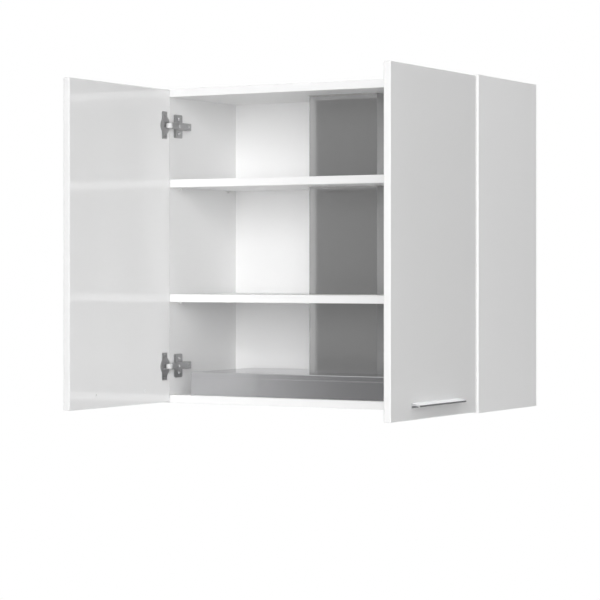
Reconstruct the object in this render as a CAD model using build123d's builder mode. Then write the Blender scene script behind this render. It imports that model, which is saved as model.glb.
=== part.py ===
"""Wall cabinet with a built-in extractor hood, two doors, two shelves and a chimney duct.

x runs to the right, y towards the wall and z up, in millimetres. The origin lies in the
wall plane, midway between the keyholes of the two hanging plates. Both doors stand open
at a right angle.
"""

import os
from math import acos, cos, degrees, pi, radians, sin

from build123d import *

os.makedirs("parts", exist_ok=True)

# Carcass
cabinet_width = 800.0
cabinet_height = 720.0
cabinet_depth = 303.0
board = 18.0
shelf_board = 18.0
board_edge = 0.6
lower_shelf_rise = 231.0
upper_shelf_rise = 494.2
shelf_end_play = 0.3
back_board = 3.0
back_inset = 8.0
groove_depth = 8.0
groove_play = 0.2
panel_fit = 0.1

# Fasteners of the carcass
cam_radius = 7.5
cam_height = 12.4
cam_reach = 34.0
cam_slot = 8.0
cam_slot_width = 1.4
cam_slot_depth = 2.4
cam_bolt_radius = 3.0
bolt_thread_radius = 2.5
bolt_thread_length = 11.0
dowel_radius = 4.0
dowel_length = 30.0
fastener_margin = 46.0
dowel_offset = 32.0
shelf_pin_radius = 2.5
shelf_pin_in = 10.0
shelf_pin_out = 8.0
shelf_pin_margin = 40.0
hole_play = 0.1

# Hanging plates on the wall side
hang_drop = 45.0
hang_plate = 2.0
hang_plate_width = 54.0
hang_plate_height = 64.0
hang_plate_edge = 2.0
hang_plate_radius = 4.0
hang_plate_low = -20.0
keyhole_inset = 36.0
keyhole_radius = 5.5
keyhole_slot_radius = 2.75
keyhole_slot = 10.0
hang_screw_head = 3.8
hang_screw_radius = 1.75
hang_screw_length = 18.0
hang_screw_inset = 6.5
hang_screw_shift = 8.0

# Doors
door_board = 16.0
door_side_gap = 3.5
door_middle_gap = 4.0
door_end_gap = 2.0
door_face_gap = 3.0
door_radius = 2.0

# Cup hinges: one pin each, as far from the door's edge as from its inner face
pin_inset = 8.4
hinge_end = 84.0
cup_radius = 17.4
cup_edge = 4.1
cup_depth = 12.3
cup_wall = 0.9
flange = 1.2
ear_width = 20.0
ear_height = 63.0
ear_offset = 1.5
ear_radius = 3.0
tongue_edge = 3.2
tongue_tip = 10.5
tongue_root = 20.0
pocket_play = 1.6
lug_thickness = 1.6
lug_radius = 2.8
hinge_pin_radius = 1.5
running_play = 0.06
eye_radius = 2.6
eye_half = 4.5
neck_half = 5.5
neck_sheet = 2.6
neck_start = 3.3
neck_bend = 3.0
arm_rise = 8.4
arm_half = 7.2
arm_tail_half = 8.2
arm_side = 1.3
arm_step = 16.0
arm_end = 79.0
cup_screw_spacing = 48.0
cup_screw_head = 3.6
cup_screw_radius = 1.75
cup_screw_length = 11.0
pan_head = 1.5
pan_taper = 25.0

# Mounting plates of the hinges
system_line = 37.0
plate_base = 2.0
plate_start = 17.0
plate_width = 34.0
plate_height = 54.0
plate_radius = 4.0
rib_start = 17.0
rib_end = 78.0
rib_play = 0.2
plate_screw_spacing = 32.0
plate_screw_radius = 2.5
plate_screw_head = 4.2
plate_screw_length = 12.0
plate_slot_length = 15.0
plate_slot_width = 3.0
plate_slot_setback = 20.0
arm_screw_radius = 2.0
arm_screw_head = 3.4
arm_screw_setbacks = (30.0, 68.0)
arm_screw_length = 6.2

# Handles
handle_length = 216.0
handle_rise = 26.5
handle_height = 9.5
handle_reach = 19.8
handle_foot = 2.0
handle_plate = 2.6
handle_lip = 3.8
handle_drop = 3.6
handle_hole_spacing = 192.0
handle_screw_radius = 2.0
handle_screw_head = 4.0
handle_screw_bite = 1.5

# Hood casing on the bottom panel
hood_side_gap = 51.0
hood_rear_gap = 8.0
hood_height = 53.0
hood_setback = 12.0
sheet = 1.0
casing_play = 0.1
rim_height = 11.8
seam = 1.2
fascia_return = 24.0
collar_side = 19.0
collar_end = 22.0
collar_drop = 16.0
collar_play = 1.5
casing_screw_radius = 1.5
casing_screw_head = 3.0
casing_screw_length = 5.0
casing_screw_spacing = 180.0
sheet_edge = 0.8
cover_edge = 1.8

# Grease filters in the tray's floor
filter_side = 9.0
filter_thickness = 8.0
filter_middle = 14.0
filter_gap = 1.0
filter_rear = 8.0
filter_rail = 12.0
filter_lip = 1.5
filter_ledge = 3.0
filter_corner = 2.0
trunnion_radius = 2.0
trunnion_length = 4.0
lug_sheet = 2.0
lug_half = 4.0
mesh_thickness = 4.0
mesh_columns = 9
mesh_rows = 5
mesh_web = 4.0
pull_width = 36.0
pull_depth = 7.0
pull_height = 1.6

# Lamps and push buttons in front of the filters
strip_depth = 48.0
strip_centre = 23.0
lamp_inset = 82.0
lamp_radius = 19.0
lamp_flange = 22.0
lamp_flange_height = 1.4
lamp_height = 16.0
lamp_wall = 2.0
lens_thickness = 2.0
button_pitch = 22.0
button_radius = 6.0
button_play = 0.3
button_stand = 1.4
button_collar = 8.0
button_collar_height = 1.4
button_stem_radius = 2.0
button_height = 6.0
button_travel = 1.5
switch_size = 6.0
switch_height = 3.0
circuit_board = 1.6
circuit_board_width = 112.0
circuit_board_depth = 30.0
post_radius = 3.0
post_margin = 5.0

# Chimney duct
duct_width = 175.0
duct_depth = 155.0
duct_gap = 7.0
duct_radius = 1.5
duct_play = 1.5
duct_foot = 10.0

# Blower in the foot of the duct
scroll_width = 86.0
scroll_wall = 2.0
scroll_start = 58.0
scroll_growth = 16.0
scroll_cutoff = 100.0
scroll_points = 12
full_turn = 360.0
scroll_stand = 3.0
scroll_foot = 12.0
scroll_foot_offset = 35.0
outlet_rise = 80.0
inlet_radius = 40.0
intake_offset = 62.0
intake_width = 28.0
intake_depth = 118.0
wheel_radius = 52.0
wheel_width = 74.0
blade_count = 24
blade_thickness = 1.0
blade_depth = 12.0
blade_radius = 14.0
blade_lean = 12.0
wheel_disc = 3.0
wheel_ring = 2.0
wheel_hub = 10.0
wheel_hub_length = 24.0
shaft_radius = 4.0
motor_radius = 29.0
motor_length = 30.0
motor_stand = 8.0
motor_edge = 2.0
spider_arm = 8.0
spider_hub = 14.0
shaft_play = 0.5
shaft_in_motor = 24.0

# Flue with its two backdraft flaps and the outlet
outlet_radius = 60.0
flue_wall = 1.2
transition_height = 70.0
collar_length = 30.0
collar_recess = 1.0
collar_margin = 0.3
flap_drop = 62.0
flap_thickness = 1.0
flap_play = 1.2
axle_radius = 1.2
axle_offset = 2.7
barrel_radius = 2.3
barrel_half = 54.0

# Cable gland
gland_inset = 81.0
gland_setback = 20.0
gland_radius = 6.0
gland_bore = 3.6
gland_height = 9.0
gland_flange = 8.5
gland_flange_height = 3.0
gland_tail = 5.0
gland_edge = 1.5


def scroll_radius(angle):
    """The blower casing's radius, which grows evenly from its cut-off to its outlet."""
    return scroll_start + scroll_growth * (angle - scroll_cutoff) / (full_turn - scroll_cutoff)


# Places worked out from the sizes above
top = hang_drop
bottom = top - cabinet_height
middle = (top + bottom) / 2
front = -cabinet_depth
half_width = cabinet_width / 2
inner_half = half_width - board
floor = bottom + board
ceiling = top - board
back_rear = -back_inset
back_front = back_rear - back_board
back_centre = (back_rear + back_front) / 2
back_width = 2 * (inner_half + groove_depth - groove_play)
back_height = cabinet_height - 2 * board + 2 * (groove_depth - groove_play)
keyhole_x = half_width - keyhole_inset
hang_centre_x = half_width - hang_plate_edge - hang_plate_width / 2
hang_centre_z = hang_plate_low + hang_plate_height / 2

fastener_rows = (front + fastener_margin, -fastener_margin)
dowel_rows = (front + fastener_margin + dowel_offset, -fastener_margin - dowel_offset)
cam_spots = [(side * (inner_half - cam_reach), y) for side in (-1, 1) for y in fastener_rows]
shelf_depth = back_front - shelf_end_play - front
shelf_rises = (lower_shelf_rise, upper_shelf_rise)

door_width = half_width - door_side_gap - door_middle_gap / 2
door_height = cabinet_height - 2 * door_end_gap
pivot_x = half_width - door_side_gap - pin_inset
pivot_y = front - door_face_gap - pin_inset
door_face = pivot_x - pin_inset
door_edge = pivot_y + pin_inset
door_outer = door_face + door_board
door_low = bottom + door_end_gap
cup_centre = cup_edge + cup_radius
ear_centre = cup_centre + ear_offset
hinge_levels = (bottom + hinge_end, top - hinge_end)
arm_face = inner_half - arm_rise
arm_front = front - door_face_gap + flange + pocket_play
rib_half = arm_tail_half - arm_side - rib_play
lug_reach = eye_half + rib_play + lug_thickness
neck_reach = pin_inset + pivot_x - arm_face + pocket_play
plate_screw_offsets = [side * plate_screw_spacing / 2 for side in (-1, 1)]
handle_near = door_edge - (door_width - handle_length) / 2
handle_low = bottom + handle_rise
handle_top = handle_low + handle_height

hood_width = 2 * (inner_half - hood_side_gap)
hood_front = front + hood_setback
hood_rear = back_front - hood_rear_gap
hood_depth = hood_rear - hood_front
hood_centre = (hood_front + hood_rear) / 2
hood_top = floor + hood_height
body_width = hood_width - 2 * (sheet + casing_play)
body_depth = hood_depth - 2 * (sheet + casing_play)
collar_width = hood_width - 2 * collar_side
collar_depth = hood_depth - 2 * collar_end
collar_low = floor - collar_drop
collar_front = hood_centre - collar_depth / 2
collar_rear = hood_centre + collar_depth / 2
filter_width = collar_width / 2 - filter_side - filter_middle / 2
filter_depth = collar_depth - filter_rear - strip_depth
filter_axis_y = collar_rear - filter_rear - filter_thickness / 2
filter_axis_z = collar_low + filter_thickness / 2
filter_centre_y = filter_axis_y + (filter_thickness - filter_depth) / 2
filter_front = filter_centre_y - filter_depth / 2
filter_inner_x = filter_middle / 2
filter_outer_x = filter_inner_x + filter_width
filter_centre_x = (filter_inner_x + filter_outer_x) / 2
filter_swing = filter_thickness / 2 ** 0.5
opening_front = filter_front - filter_gap
opening_rear = filter_axis_y + filter_swing + filter_gap
opening_centre = (opening_front + opening_rear) / 2
mesh_width = filter_width - 2 * (filter_rail + panel_fit)
mesh_depth = filter_depth - 2 * (filter_rail + panel_fit)
mesh_pitch_x = (mesh_width - mesh_web) / mesh_columns
mesh_pitch_y = (mesh_depth - mesh_web) / mesh_rows
strip_y = collar_front + strip_centre
lamp_offset = collar_width / 2 - lamp_inset
lamp_spots = [(side * lamp_offset, strip_y) for side in (-1, 1)]
button_places = [button_pitch * (number - 1.5) for number in range(4)]
button_spots = [(x, strip_y) for x in button_places]
plate_top = collar_low + sheet
button_low = collar_low - button_stand
switch_low = button_low + button_height + button_travel + hole_play
circuit_board_low = switch_low + switch_height
fascia_height = hood_height - rim_height - seam
cover_screws = [
    (hood_centre + side * casing_screw_spacing / 2, hood_top - rim_height / 2) for side in (-1, 1)
]
fascia_screw = (hood_front + fascia_return / 2, floor + fascia_height / 2)
gland_x = hood_width / 2 - gland_inset
gland_y = hood_rear - gland_setback

duct_front = back_front - duct_gap - duct_depth
duct_centre = duct_front + duct_depth / 2
scroll_y = duct_centre + (scroll_radius(full_turn / 2) - scroll_radius(full_turn)) / 2
scroll_z = hood_top + scroll_stand + scroll_radius(full_turn * 3 / 4)
outlet_z = scroll_z + outlet_rise
outlet_near = scroll_y + scroll_start * cos(radians(scroll_cutoff))
outlet_far = scroll_y + scroll_start + scroll_growth
lid_x = scroll_width / 2
motor_x = lid_x + scroll_wall + motor_stand
collar_plate_z = top - collar_recess - collar_length
flap_z = top - flap_drop
axle_spots = [(duct_centre + side * axle_offset, flap_z) for side in (-1, 1)]
flue_radius = outlet_radius - flue_wall


def door_plane(height):
    """The open right door's inner face: x away from the hinges, y up and z out of the door."""
    return Plane(origin=(door_face, door_edge, height), x_dir=(0, -1, 0), z_dir=(-1, 0, 0))


def panel_plane(height):
    """The right side panel's inner face: x from the front to the wall and z into the cabinet."""
    return Plane(origin=(inner_half, front, height), x_dir=(0, 1, 0), z_dir=(-1, 0, 0))


def flat_screw(plane, head_radius, head_height, shank_radius, length):
    """A countersunk screw: its head is flush with the plane and its shank runs behind it."""
    with BuildPart() as screw:
        with BuildSketch(plane):
            Circle(head_radius)
        with BuildSketch(plane.offset(-head_height)):
            Circle(shank_radius)
        loft()
        with BuildSketch(plane.offset(-head_height)):
            Circle(shank_radius)
        extrude(amount=head_height - length)
    return screw.part


def pan_screw(plane, head_radius, head_height, shank_radius, length):
    """A pan head screw: its head stands on the plane and its shank runs behind it."""
    with BuildPart() as screw:
        with BuildSketch(plane):
            Circle(head_radius)
        extrude(amount=head_height, taper=pan_taper)
        with BuildSketch(plane):
            Circle(shank_radius)
        extrude(amount=-length)
    return screw.part


# Side panels, with the groove for the back and every hole that a fastener needs
pin_columns = (front + shelf_pin_margin, back_front - shelf_pin_margin)
pin_holes = [
    (y, bottom + rise - shelf_pin_radius - hole_play) for rise in shelf_rises for y in pin_columns
]
joint_heights = (floor - board / 2, ceiling + board / 2)
bolt_holes = [(y, z) for y in fastener_rows for z in joint_heights]
dowel_holes = [(y, z) for y in dowel_rows for z in joint_heights]
plate_holes = [
    (front + system_line, level + offset)
    for level in hinge_levels
    for offset in plate_screw_offsets
]
side_holes = (
    (pin_holes, shelf_pin_radius, shelf_pin_in),
    (bolt_holes, bolt_thread_radius, bolt_thread_length),
    (dowel_holes, dowel_radius, dowel_length / 2),
    (plate_holes, plate_screw_radius, plate_screw_length - plate_base),
)
hang_screw_spots = (
    (half_width - hang_screw_inset, -hang_screw_shift),
    (half_width - hang_screw_inset, ceiling),
    (keyhole_x - hang_screw_shift, top - hang_screw_inset),
)

with BuildPart() as side_panel_right:
    with BuildSketch(Plane.YZ.offset(inner_half)):
        with Locations((front / 2, middle)):
            Rectangle(cabinet_depth, cabinet_height)
    extrude(amount=board)
    fillet(side_panel_right.faces().sort_by(Axis.Y)[0].edges(), board_edge)
    with BuildSketch(Plane.YZ.offset(inner_half)):
        with Locations((back_centre, middle)):
            Rectangle(back_board + 2 * groove_play, back_height + 2 * groove_play)
    extrude(amount=groove_depth, mode=Mode.SUBTRACT)
    for places, radius, depth in side_holes:
        with BuildSketch(Plane.YZ.offset(inner_half)):
            with Locations(*places):
                Circle(radius + hole_play)
        extrude(amount=depth + hole_play, mode=Mode.SUBTRACT)
    with BuildSketch(Plane.XZ):
        with Locations((hang_centre_x, hang_centre_z)):
            Rectangle(hang_plate_width + 2 * panel_fit, hang_plate_height + 2 * panel_fit)
    extrude(amount=hang_plate, mode=Mode.SUBTRACT)
    with BuildSketch(Plane.XZ):
        with Locations(*hang_screw_spots[:2]):
            Circle(hang_screw_radius + hole_play)
    extrude(amount=hang_screw_length + hole_play, mode=Mode.SUBTRACT)
side_panel_right.part.label = "side_panel_right"

with BuildPart() as side_panel_left:
    mirror(side_panel_right.part, about=Plane.YZ)
side_panel_left.part.label = "side_panel_left"


# Top panel with the duct's cut-out: its cams sit in the upper face, out of sight
with BuildPart() as top_panel:
    with BuildSketch(Plane.XY.offset(ceiling)):
        with Locations((0, front / 2)):
            Rectangle(2 * (inner_half - panel_fit), cabinet_depth)
        with Locations((0, duct_centre)):
            Rectangle(duct_width + 2 * duct_play, duct_depth + 2 * duct_play, mode=Mode.SUBTRACT)
    extrude(amount=board)
    fillet(top_panel.edges().filter_by(Axis.X).group_by(Axis.Y)[0], board_edge)
    with BuildSketch(Plane.XY.offset(ceiling)):
        with Locations((0, back_centre)):
            Rectangle(2 * inner_half, back_board + 2 * groove_play)
    extrude(amount=groove_depth, mode=Mode.SUBTRACT)
    with BuildSketch(Plane.XY.offset(top)):
        with Locations(*cam_spots):
            Circle(cam_radius + hole_play)
    extrude(amount=-(cam_height + hole_play), mode=Mode.SUBTRACT)
    for side in (-1, 1):
        with BuildSketch(Plane.YZ.offset(side * inner_half)):
            with Locations(*[(y, ceiling + board / 2) for y in fastener_rows]):
                Circle(cam_bolt_radius + hole_play)
        extrude(amount=-side * cam_reach, mode=Mode.SUBTRACT)
        with BuildSketch(Plane.YZ.offset(side * inner_half)):
            with Locations(*[(y, ceiling + board / 2) for y in dowel_rows]):
                Circle(dowel_radius + hole_play)
        extrude(amount=-side * (dowel_length / 2 + 2 * panel_fit), mode=Mode.SUBTRACT)
    with BuildSketch(Plane.XZ):
        with Locations((hang_centre_x, hang_centre_z), (-hang_centre_x, hang_centre_z)):
            Rectangle(hang_plate_width + 2 * panel_fit, hang_plate_height + 2 * panel_fit)
    extrude(amount=hang_plate, mode=Mode.SUBTRACT)
    with BuildSketch(Plane.XZ):
        with Locations(hang_screw_spots[2], (-hang_screw_spots[2][0], hang_screw_spots[2][1])):
            Circle(hang_screw_radius + hole_play)
    extrude(amount=hang_screw_length + hole_play, mode=Mode.SUBTRACT)
top_panel.part.label = "top_panel"


# Bottom panel with the hood's cut-out: its cams sit in the lower face
with BuildPart() as bottom_panel:
    with BuildSketch(Plane.XY.offset(bottom)):
        with Locations((0, front / 2)):
            Rectangle(2 * (inner_half - panel_fit), cabinet_depth)
        with Locations((0, hood_centre)):
            Rectangle(
                collar_width + 2 * collar_play,
                collar_depth + 2 * collar_play,
                mode=Mode.SUBTRACT,
            )
    extrude(amount=board)
    fillet(bottom_panel.edges().filter_by(Axis.X).group_by(Axis.Y)[0], board_edge)
    with BuildSketch(Plane.XY.offset(floor)):
        with Locations((0, back_centre)):
            Rectangle(2 * inner_half, back_board + 2 * groove_play)
    extrude(amount=-groove_depth, mode=Mode.SUBTRACT)
    with BuildSketch(Plane.XY.offset(bottom)):
        with Locations(*cam_spots):
            Circle(cam_radius + hole_play)
    extrude(amount=cam_height + hole_play, mode=Mode.SUBTRACT)
    for side in (-1, 1):
        with BuildSketch(Plane.YZ.offset(side * inner_half)):
            with Locations(*[(y, floor - board / 2) for y in fastener_rows]):
                Circle(cam_bolt_radius + hole_play)
        extrude(amount=-side * cam_reach, mode=Mode.SUBTRACT)
        with BuildSketch(Plane.YZ.offset(side * inner_half)):
            with Locations(*[(y, floor - board / 2) for y in dowel_rows]):
                Circle(dowel_radius + hole_play)
        extrude(amount=-side * (dowel_length / 2 + 2 * panel_fit), mode=Mode.SUBTRACT)
bottom_panel.part.label = "bottom_panel"


# Back panel in the grooves
with BuildPart() as back_panel:
    with BuildSketch(Plane.XZ.offset(-back_rear)):
        with Locations((0, middle)):
            Rectangle(back_width, back_height)
    extrude(amount=back_board)
back_panel.part.label = "back_panel"


# Shelves, notched at the rear for the duct
def shelf(rise):
    with BuildPart() as board_piece:
        with BuildSketch(Plane.XY.offset(bottom + rise)):
            with Locations((0, front + shelf_depth / 2)):
                Rectangle(2 * (inner_half - shelf_end_play), shelf_depth)
            with Locations((0, duct_front - duct_play)):
                Rectangle(
                    duct_width + 2 * duct_play,
                    cabinet_depth,
                    align=(Align.CENTER, Align.MIN),
                    mode=Mode.SUBTRACT,
                )
        extrude(amount=shelf_board)
        fillet(board_piece.edges().filter_by(Axis.X).group_by(Axis.Y)[0], board_edge)
    return board_piece


shelf_lower = shelf(lower_shelf_rise)
shelf_lower.part.label = "shelf_lower"
shelf_upper = shelf(upper_shelf_rise)
shelf_upper.part.label = "shelf_upper"


# Shelf pins: rods in the side panels that stand out under the shelves
with BuildPart() as shelf_pins:
    for side in (-1, 1):
        with BuildSketch(Plane.YZ.offset(side * (inner_half + shelf_pin_in))):
            with Locations(*pin_holes):
                Circle(shelf_pin_radius)
        extrude(amount=-side * (shelf_pin_in + shelf_pin_out))
shelf_pins.part.label = "shelf_pins"


# Dowels, half in the side panels and half in the top and bottom panels
with BuildPart() as dowels:
    for side in (-1, 1):
        with BuildSketch(Plane.YZ.offset(side * inner_half)):
            with Locations(*dowel_holes):
                Circle(dowel_radius)
        extrude(amount=dowel_length / 2, both=True)
dowels.part.label = "dowels"


# Cam locks: each draws in the head of a bolt that is screwed into the side panel
with BuildPart() as cam_locks:
    for surface, inward in ((top, -1), (bottom, 1)):
        with BuildSketch(Plane.XY.offset(surface)):
            with Locations(*cam_spots):
                Circle(cam_radius)
        extrude(amount=inward * cam_height)
        with BuildSketch(Plane.XY.offset(surface)):
            with Locations(*cam_spots):
                Rectangle(cam_slot, cam_slot_width)
                Rectangle(cam_slot_width, cam_slot)
        extrude(amount=inward * cam_slot_depth, mode=Mode.SUBTRACT)
    for side in (-1, 1):
        with BuildSketch(Plane.YZ.offset(side * (inner_half - cam_reach + cam_radius))):
            with Locations(*bolt_holes):
                Circle(cam_bolt_radius + hole_play)
        extrude(amount=-side * (cam_radius + cam_bolt_radius), mode=Mode.SUBTRACT)
cam_locks.part.label = "cam_locks"

with BuildPart() as cam_bolts:
    for side in (-1, 1):
        with BuildSketch(Plane.YZ.offset(side * inner_half)):
            with Locations(*bolt_holes):
                Circle(bolt_thread_radius)
        extrude(amount=side * bolt_thread_length)
        with BuildSketch(Plane.YZ.offset(side * inner_half)):
            with Locations(*bolt_holes):
                Circle(cam_bolt_radius)
        extrude(amount=-side * cam_reach)
cam_bolts.part.label = "cam_bolts"


# Hanging plates: let into the rear edges, with a keyhole behind the back panel's gap
with BuildPart() as hanging_plate_right:
    with BuildSketch(Plane.XZ):
        with Locations((hang_centre_x, hang_centre_z)):
            RectangleRounded(hang_plate_width, hang_plate_height, hang_plate_radius)
        with Locations((keyhole_x, 0)):
            Circle(keyhole_radius, mode=Mode.SUBTRACT)
        with Locations((keyhole_x, keyhole_slot / 2)):
            Rectangle(2 * keyhole_slot_radius, keyhole_slot, mode=Mode.SUBTRACT)
        with Locations((keyhole_x, keyhole_slot)):
            Circle(keyhole_slot_radius, mode=Mode.SUBTRACT)
    extrude(amount=hang_plate)
    for spot in hang_screw_spots:
        with BuildSketch(Plane.XZ):
            with Locations(spot):
                Circle(hang_screw_head + hole_play)
        with BuildSketch(Plane.XZ.offset(hang_plate)):
            with Locations(spot):
                Circle(hang_screw_radius + hole_play)
        loft(mode=Mode.SUBTRACT)
hanging_plate_right.part.label = "hanging_plate_right"

with BuildPart() as hanging_plate_left:
    mirror(hanging_plate_right.part, about=Plane.YZ)
hanging_plate_left.part.label = "hanging_plate_left"

hang_screw_solids = [
    flat_screw(
        Plane(origin=(side * x, 0, z), x_dir=(1, 0, 0), z_dir=(0, 1, 0)),
        hang_screw_head,
        hang_plate,
        hang_screw_radius,
        hang_screw_length,
    )
    for side in (-1, 1)
    for x, z in hang_screw_spots
]
with BuildPart() as hanging_screws:
    add(hang_screw_solids)
hanging_screws.part.label = "hanging_screws"


# Doors, with the bores for the hinge cups and the holes for their screws and the handle's
cup_screw_spots = [
    (ear_centre, level - door_low + side * cup_screw_spacing / 2)
    for level in hinge_levels
    for side in (-1, 1)
]
handle_screw_z = handle_low + handle_height / 2
handle_screw_spots = [
    (door_width / 2 + side * handle_hole_spacing / 2, handle_screw_z - door_low) for side in (-1, 1)
]

with BuildPart() as door_right:
    with BuildSketch(door_plane(door_low)):
        Rectangle(door_width, door_height, align=(Align.MIN, Align.MIN))
    extrude(amount=-door_board)
    fillet(door_right.edges(), door_radius)
    with BuildSketch(door_plane(door_low)):
        with Locations(*[(cup_centre, level - door_low) for level in hinge_levels]):
            Circle(cup_radius + hole_play)
    extrude(amount=-(cup_depth + hole_play), mode=Mode.SUBTRACT)
    with BuildSketch(door_plane(door_low)):
        with Locations(*cup_screw_spots):
            Circle(cup_screw_radius + hole_play)
    extrude(amount=-(cup_screw_length - flange + hole_play), mode=Mode.SUBTRACT)
    with BuildSketch(door_plane(door_low)):
        with Locations(*handle_screw_spots):
            Circle(handle_screw_radius + hole_play)
    extrude(amount=-door_board, mode=Mode.SUBTRACT)
    for spot in handle_screw_spots:
        with BuildSketch(door_plane(door_low)):
            with Locations(spot):
                Circle(handle_screw_head + hole_play)
        with BuildSketch(door_plane(door_low).offset(-handle_screw_head / 2)):
            with Locations(spot):
                Circle(handle_screw_radius + hole_play)
        loft(mode=Mode.SUBTRACT)
door_right.part.label = "door_right"

with BuildPart() as door_left:
    mirror(door_right.part, about=Plane.YZ)
door_left.part.label = "door_left"


# Hinge cup: a pressed flange with two ears, and a pocket with lugs that hold the pin
def hinge_cup(level):
    with BuildPart() as cup:
        with BuildSketch(door_plane(level)):
            with Locations((ear_centre, 0)):
                RectangleRounded(ear_width, ear_height, ear_radius)
            with BuildLine():
                Polyline(
                    (ear_centre, tongue_root),
                    (ear_centre - ear_width / 2, tongue_root),
                    (tongue_edge, tongue_tip),
                    (tongue_edge, -tongue_tip),
                    (ear_centre - ear_width / 2, -tongue_root),
                    (ear_centre, -tongue_root),
                    close=True,
                )
            make_face()
        extrude(amount=flange)
        with BuildSketch(door_plane(level).offset(flange)):
            with Locations((cup_centre, 0)):
                Circle(cup_radius)
        extrude(amount=-(flange + cup_depth))
        with BuildSketch(door_plane(level).offset(flange)):
            with Locations((cup_centre, 0)):
                Circle(cup_radius - cup_wall)
            Rectangle(
                neck_reach,
                2 * lug_reach,
                align=(Align.MIN, Align.CENTER),
                mode=Mode.INTERSECT,
            )
        extrude(amount=-(flange + cup_depth - cup_wall), mode=Mode.SUBTRACT)
        for side in (-1, 1):
            with BuildSketch(Plane.XY.offset(level + side * (eye_half + rib_play))):
                with Locations((pivot_x, pivot_y)):
                    Circle(lug_radius)
            extrude(amount=side * lug_thickness)
        with BuildSketch(Plane.XY.offset(level)):
            with Locations((pivot_x, pivot_y)):
                Circle(hinge_pin_radius + running_play)
        extrude(amount=lug_reach, both=True, mode=Mode.SUBTRACT)
        with BuildSketch(door_plane(level).offset(flange)):
            with Locations(*[(ear_centre, side * cup_screw_spacing / 2) for side in (-1, 1)]):
                Circle(cup_screw_radius + hole_play)
        extrude(amount=-flange, mode=Mode.SUBTRACT)
    return cup.part


cup_solids = [hinge_cup(level) for level in hinge_levels]
with BuildPart() as hinge_cups_right:
    add(cup_solids)
hinge_cups_right.part.label = "hinge_cups_right"

with BuildPart() as hinge_cups_left:
    mirror(hinge_cups_right.part, about=Plane.YZ)
hinge_cups_left.part.label = "hinge_cups_left"

with BuildPart() as hinge_pins_right:
    for level in hinge_levels:
        with BuildSketch(Plane.XY.offset(level)):
            with Locations((pivot_x, pivot_y)):
                Circle(hinge_pin_radius)
        extrude(amount=lug_reach, both=True)
hinge_pins_right.part.label = "hinge_pins_right"

with BuildPart() as hinge_pins_left:
    mirror(hinge_pins_right.part, about=Plane.YZ)
hinge_pins_left.part.label = "hinge_pins_left"

cup_screw_solids = [
    pan_screw(
        Plane(door_plane(level + side * cup_screw_spacing / 2).offset(flange).location
              * Location((ear_centre, 0, 0))),
        cup_screw_head,
        pan_head,
        cup_screw_radius,
        cup_screw_length,
    )
    for level in hinge_levels
    for side in (-1, 1)
]
with BuildPart() as cup_screws_right:
    add(cup_screw_solids)
cup_screws_right.part.label = "cup_screws_right"

with BuildPart() as cup_screws_left:
    mirror(cup_screws_right.part, about=Plane.YZ)
cup_screws_left.part.label = "cup_screws_left"


# Hinge arm: an eye round the pin, a swan neck round the panel's front edge and a channel
def hinge_arm(level):
    arm_inner = arm_face + neck_sheet
    with BuildPart() as arm:
        with BuildSketch(Plane.XY.offset(level - eye_half)):
            with Locations((pivot_x, pivot_y)):
                Circle(eye_radius)
                Rectangle(2 * neck_start, neck_sheet, align=(Align.MAX, Align.CENTER))
        extrude(amount=2 * eye_half)
        with BuildSketch(Plane.XY.offset(level - neck_half)):
            with Locations((arm_face, pivot_y)):
                Rectangle(
                    pivot_x - neck_start - arm_face,
                    neck_sheet,
                    align=(Align.MIN, Align.CENTER),
                )
            with Locations((arm_face, pivot_y - neck_sheet / 2)):
                Rectangle(
                    neck_sheet,
                    front + arm_step - pivot_y + neck_sheet / 2,
                    align=(Align.MIN, Align.MIN),
                )
        extrude(amount=2 * neck_half)
        bend = arm.edges().filter_by(Axis.Z)
        inside = bend.sort_by_distance((arm_inner, pivot_y + neck_sheet / 2, level))[0]
        outside = bend.sort_by_distance((arm_face, pivot_y - neck_sheet / 2, level))[0]
        fillet(inside, neck_bend)
        fillet(outside, neck_bend + neck_sheet)
        with BuildSketch(Plane.YZ.offset(arm_face)):
            with Locations((arm_front, level)):
                Rectangle(
                    front + arm_step - arm_front, 2 * arm_half, align=(Align.MIN, Align.CENTER)
                )
            with Locations((front + arm_step, level)):
                Rectangle(arm_end - arm_step, 2 * arm_tail_half, align=(Align.MIN, Align.CENTER))
        extrude(amount=neck_sheet)
        for side in (-1, 1):
            with BuildSketch(Plane.XY.offset(level + side * arm_tail_half)):
                with Locations((arm_face, front + arm_step)):
                    Rectangle(
                        arm_rise - plate_base - rib_play,
                        arm_end - arm_step,
                        align=(Align.MIN, Align.MIN),
                    )
            extrude(amount=-side * arm_side)
        with BuildSketch(Plane.XY.offset(level - eye_half)):
            with Locations((pivot_x, pivot_y)):
                Circle(hinge_pin_radius + running_play)
        extrude(amount=2 * eye_half, mode=Mode.SUBTRACT)
        with BuildSketch(Plane.YZ.offset(arm_face)):
            with Locations(*[(front + setback, level) for setback in arm_screw_setbacks]):
                Circle(arm_screw_radius + hole_play)
        extrude(amount=neck_sheet, mode=Mode.SUBTRACT)
    return arm.part


arm_solids = [hinge_arm(level) for level in hinge_levels]
with BuildPart() as hinge_arms_right:
    add(arm_solids)
hinge_arms_right.part.label = "hinge_arms_right"

with BuildPart() as hinge_arms_left:
    mirror(hinge_arms_right.part, about=Plane.YZ)
hinge_arms_left.part.label = "hinge_arms_left"


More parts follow.
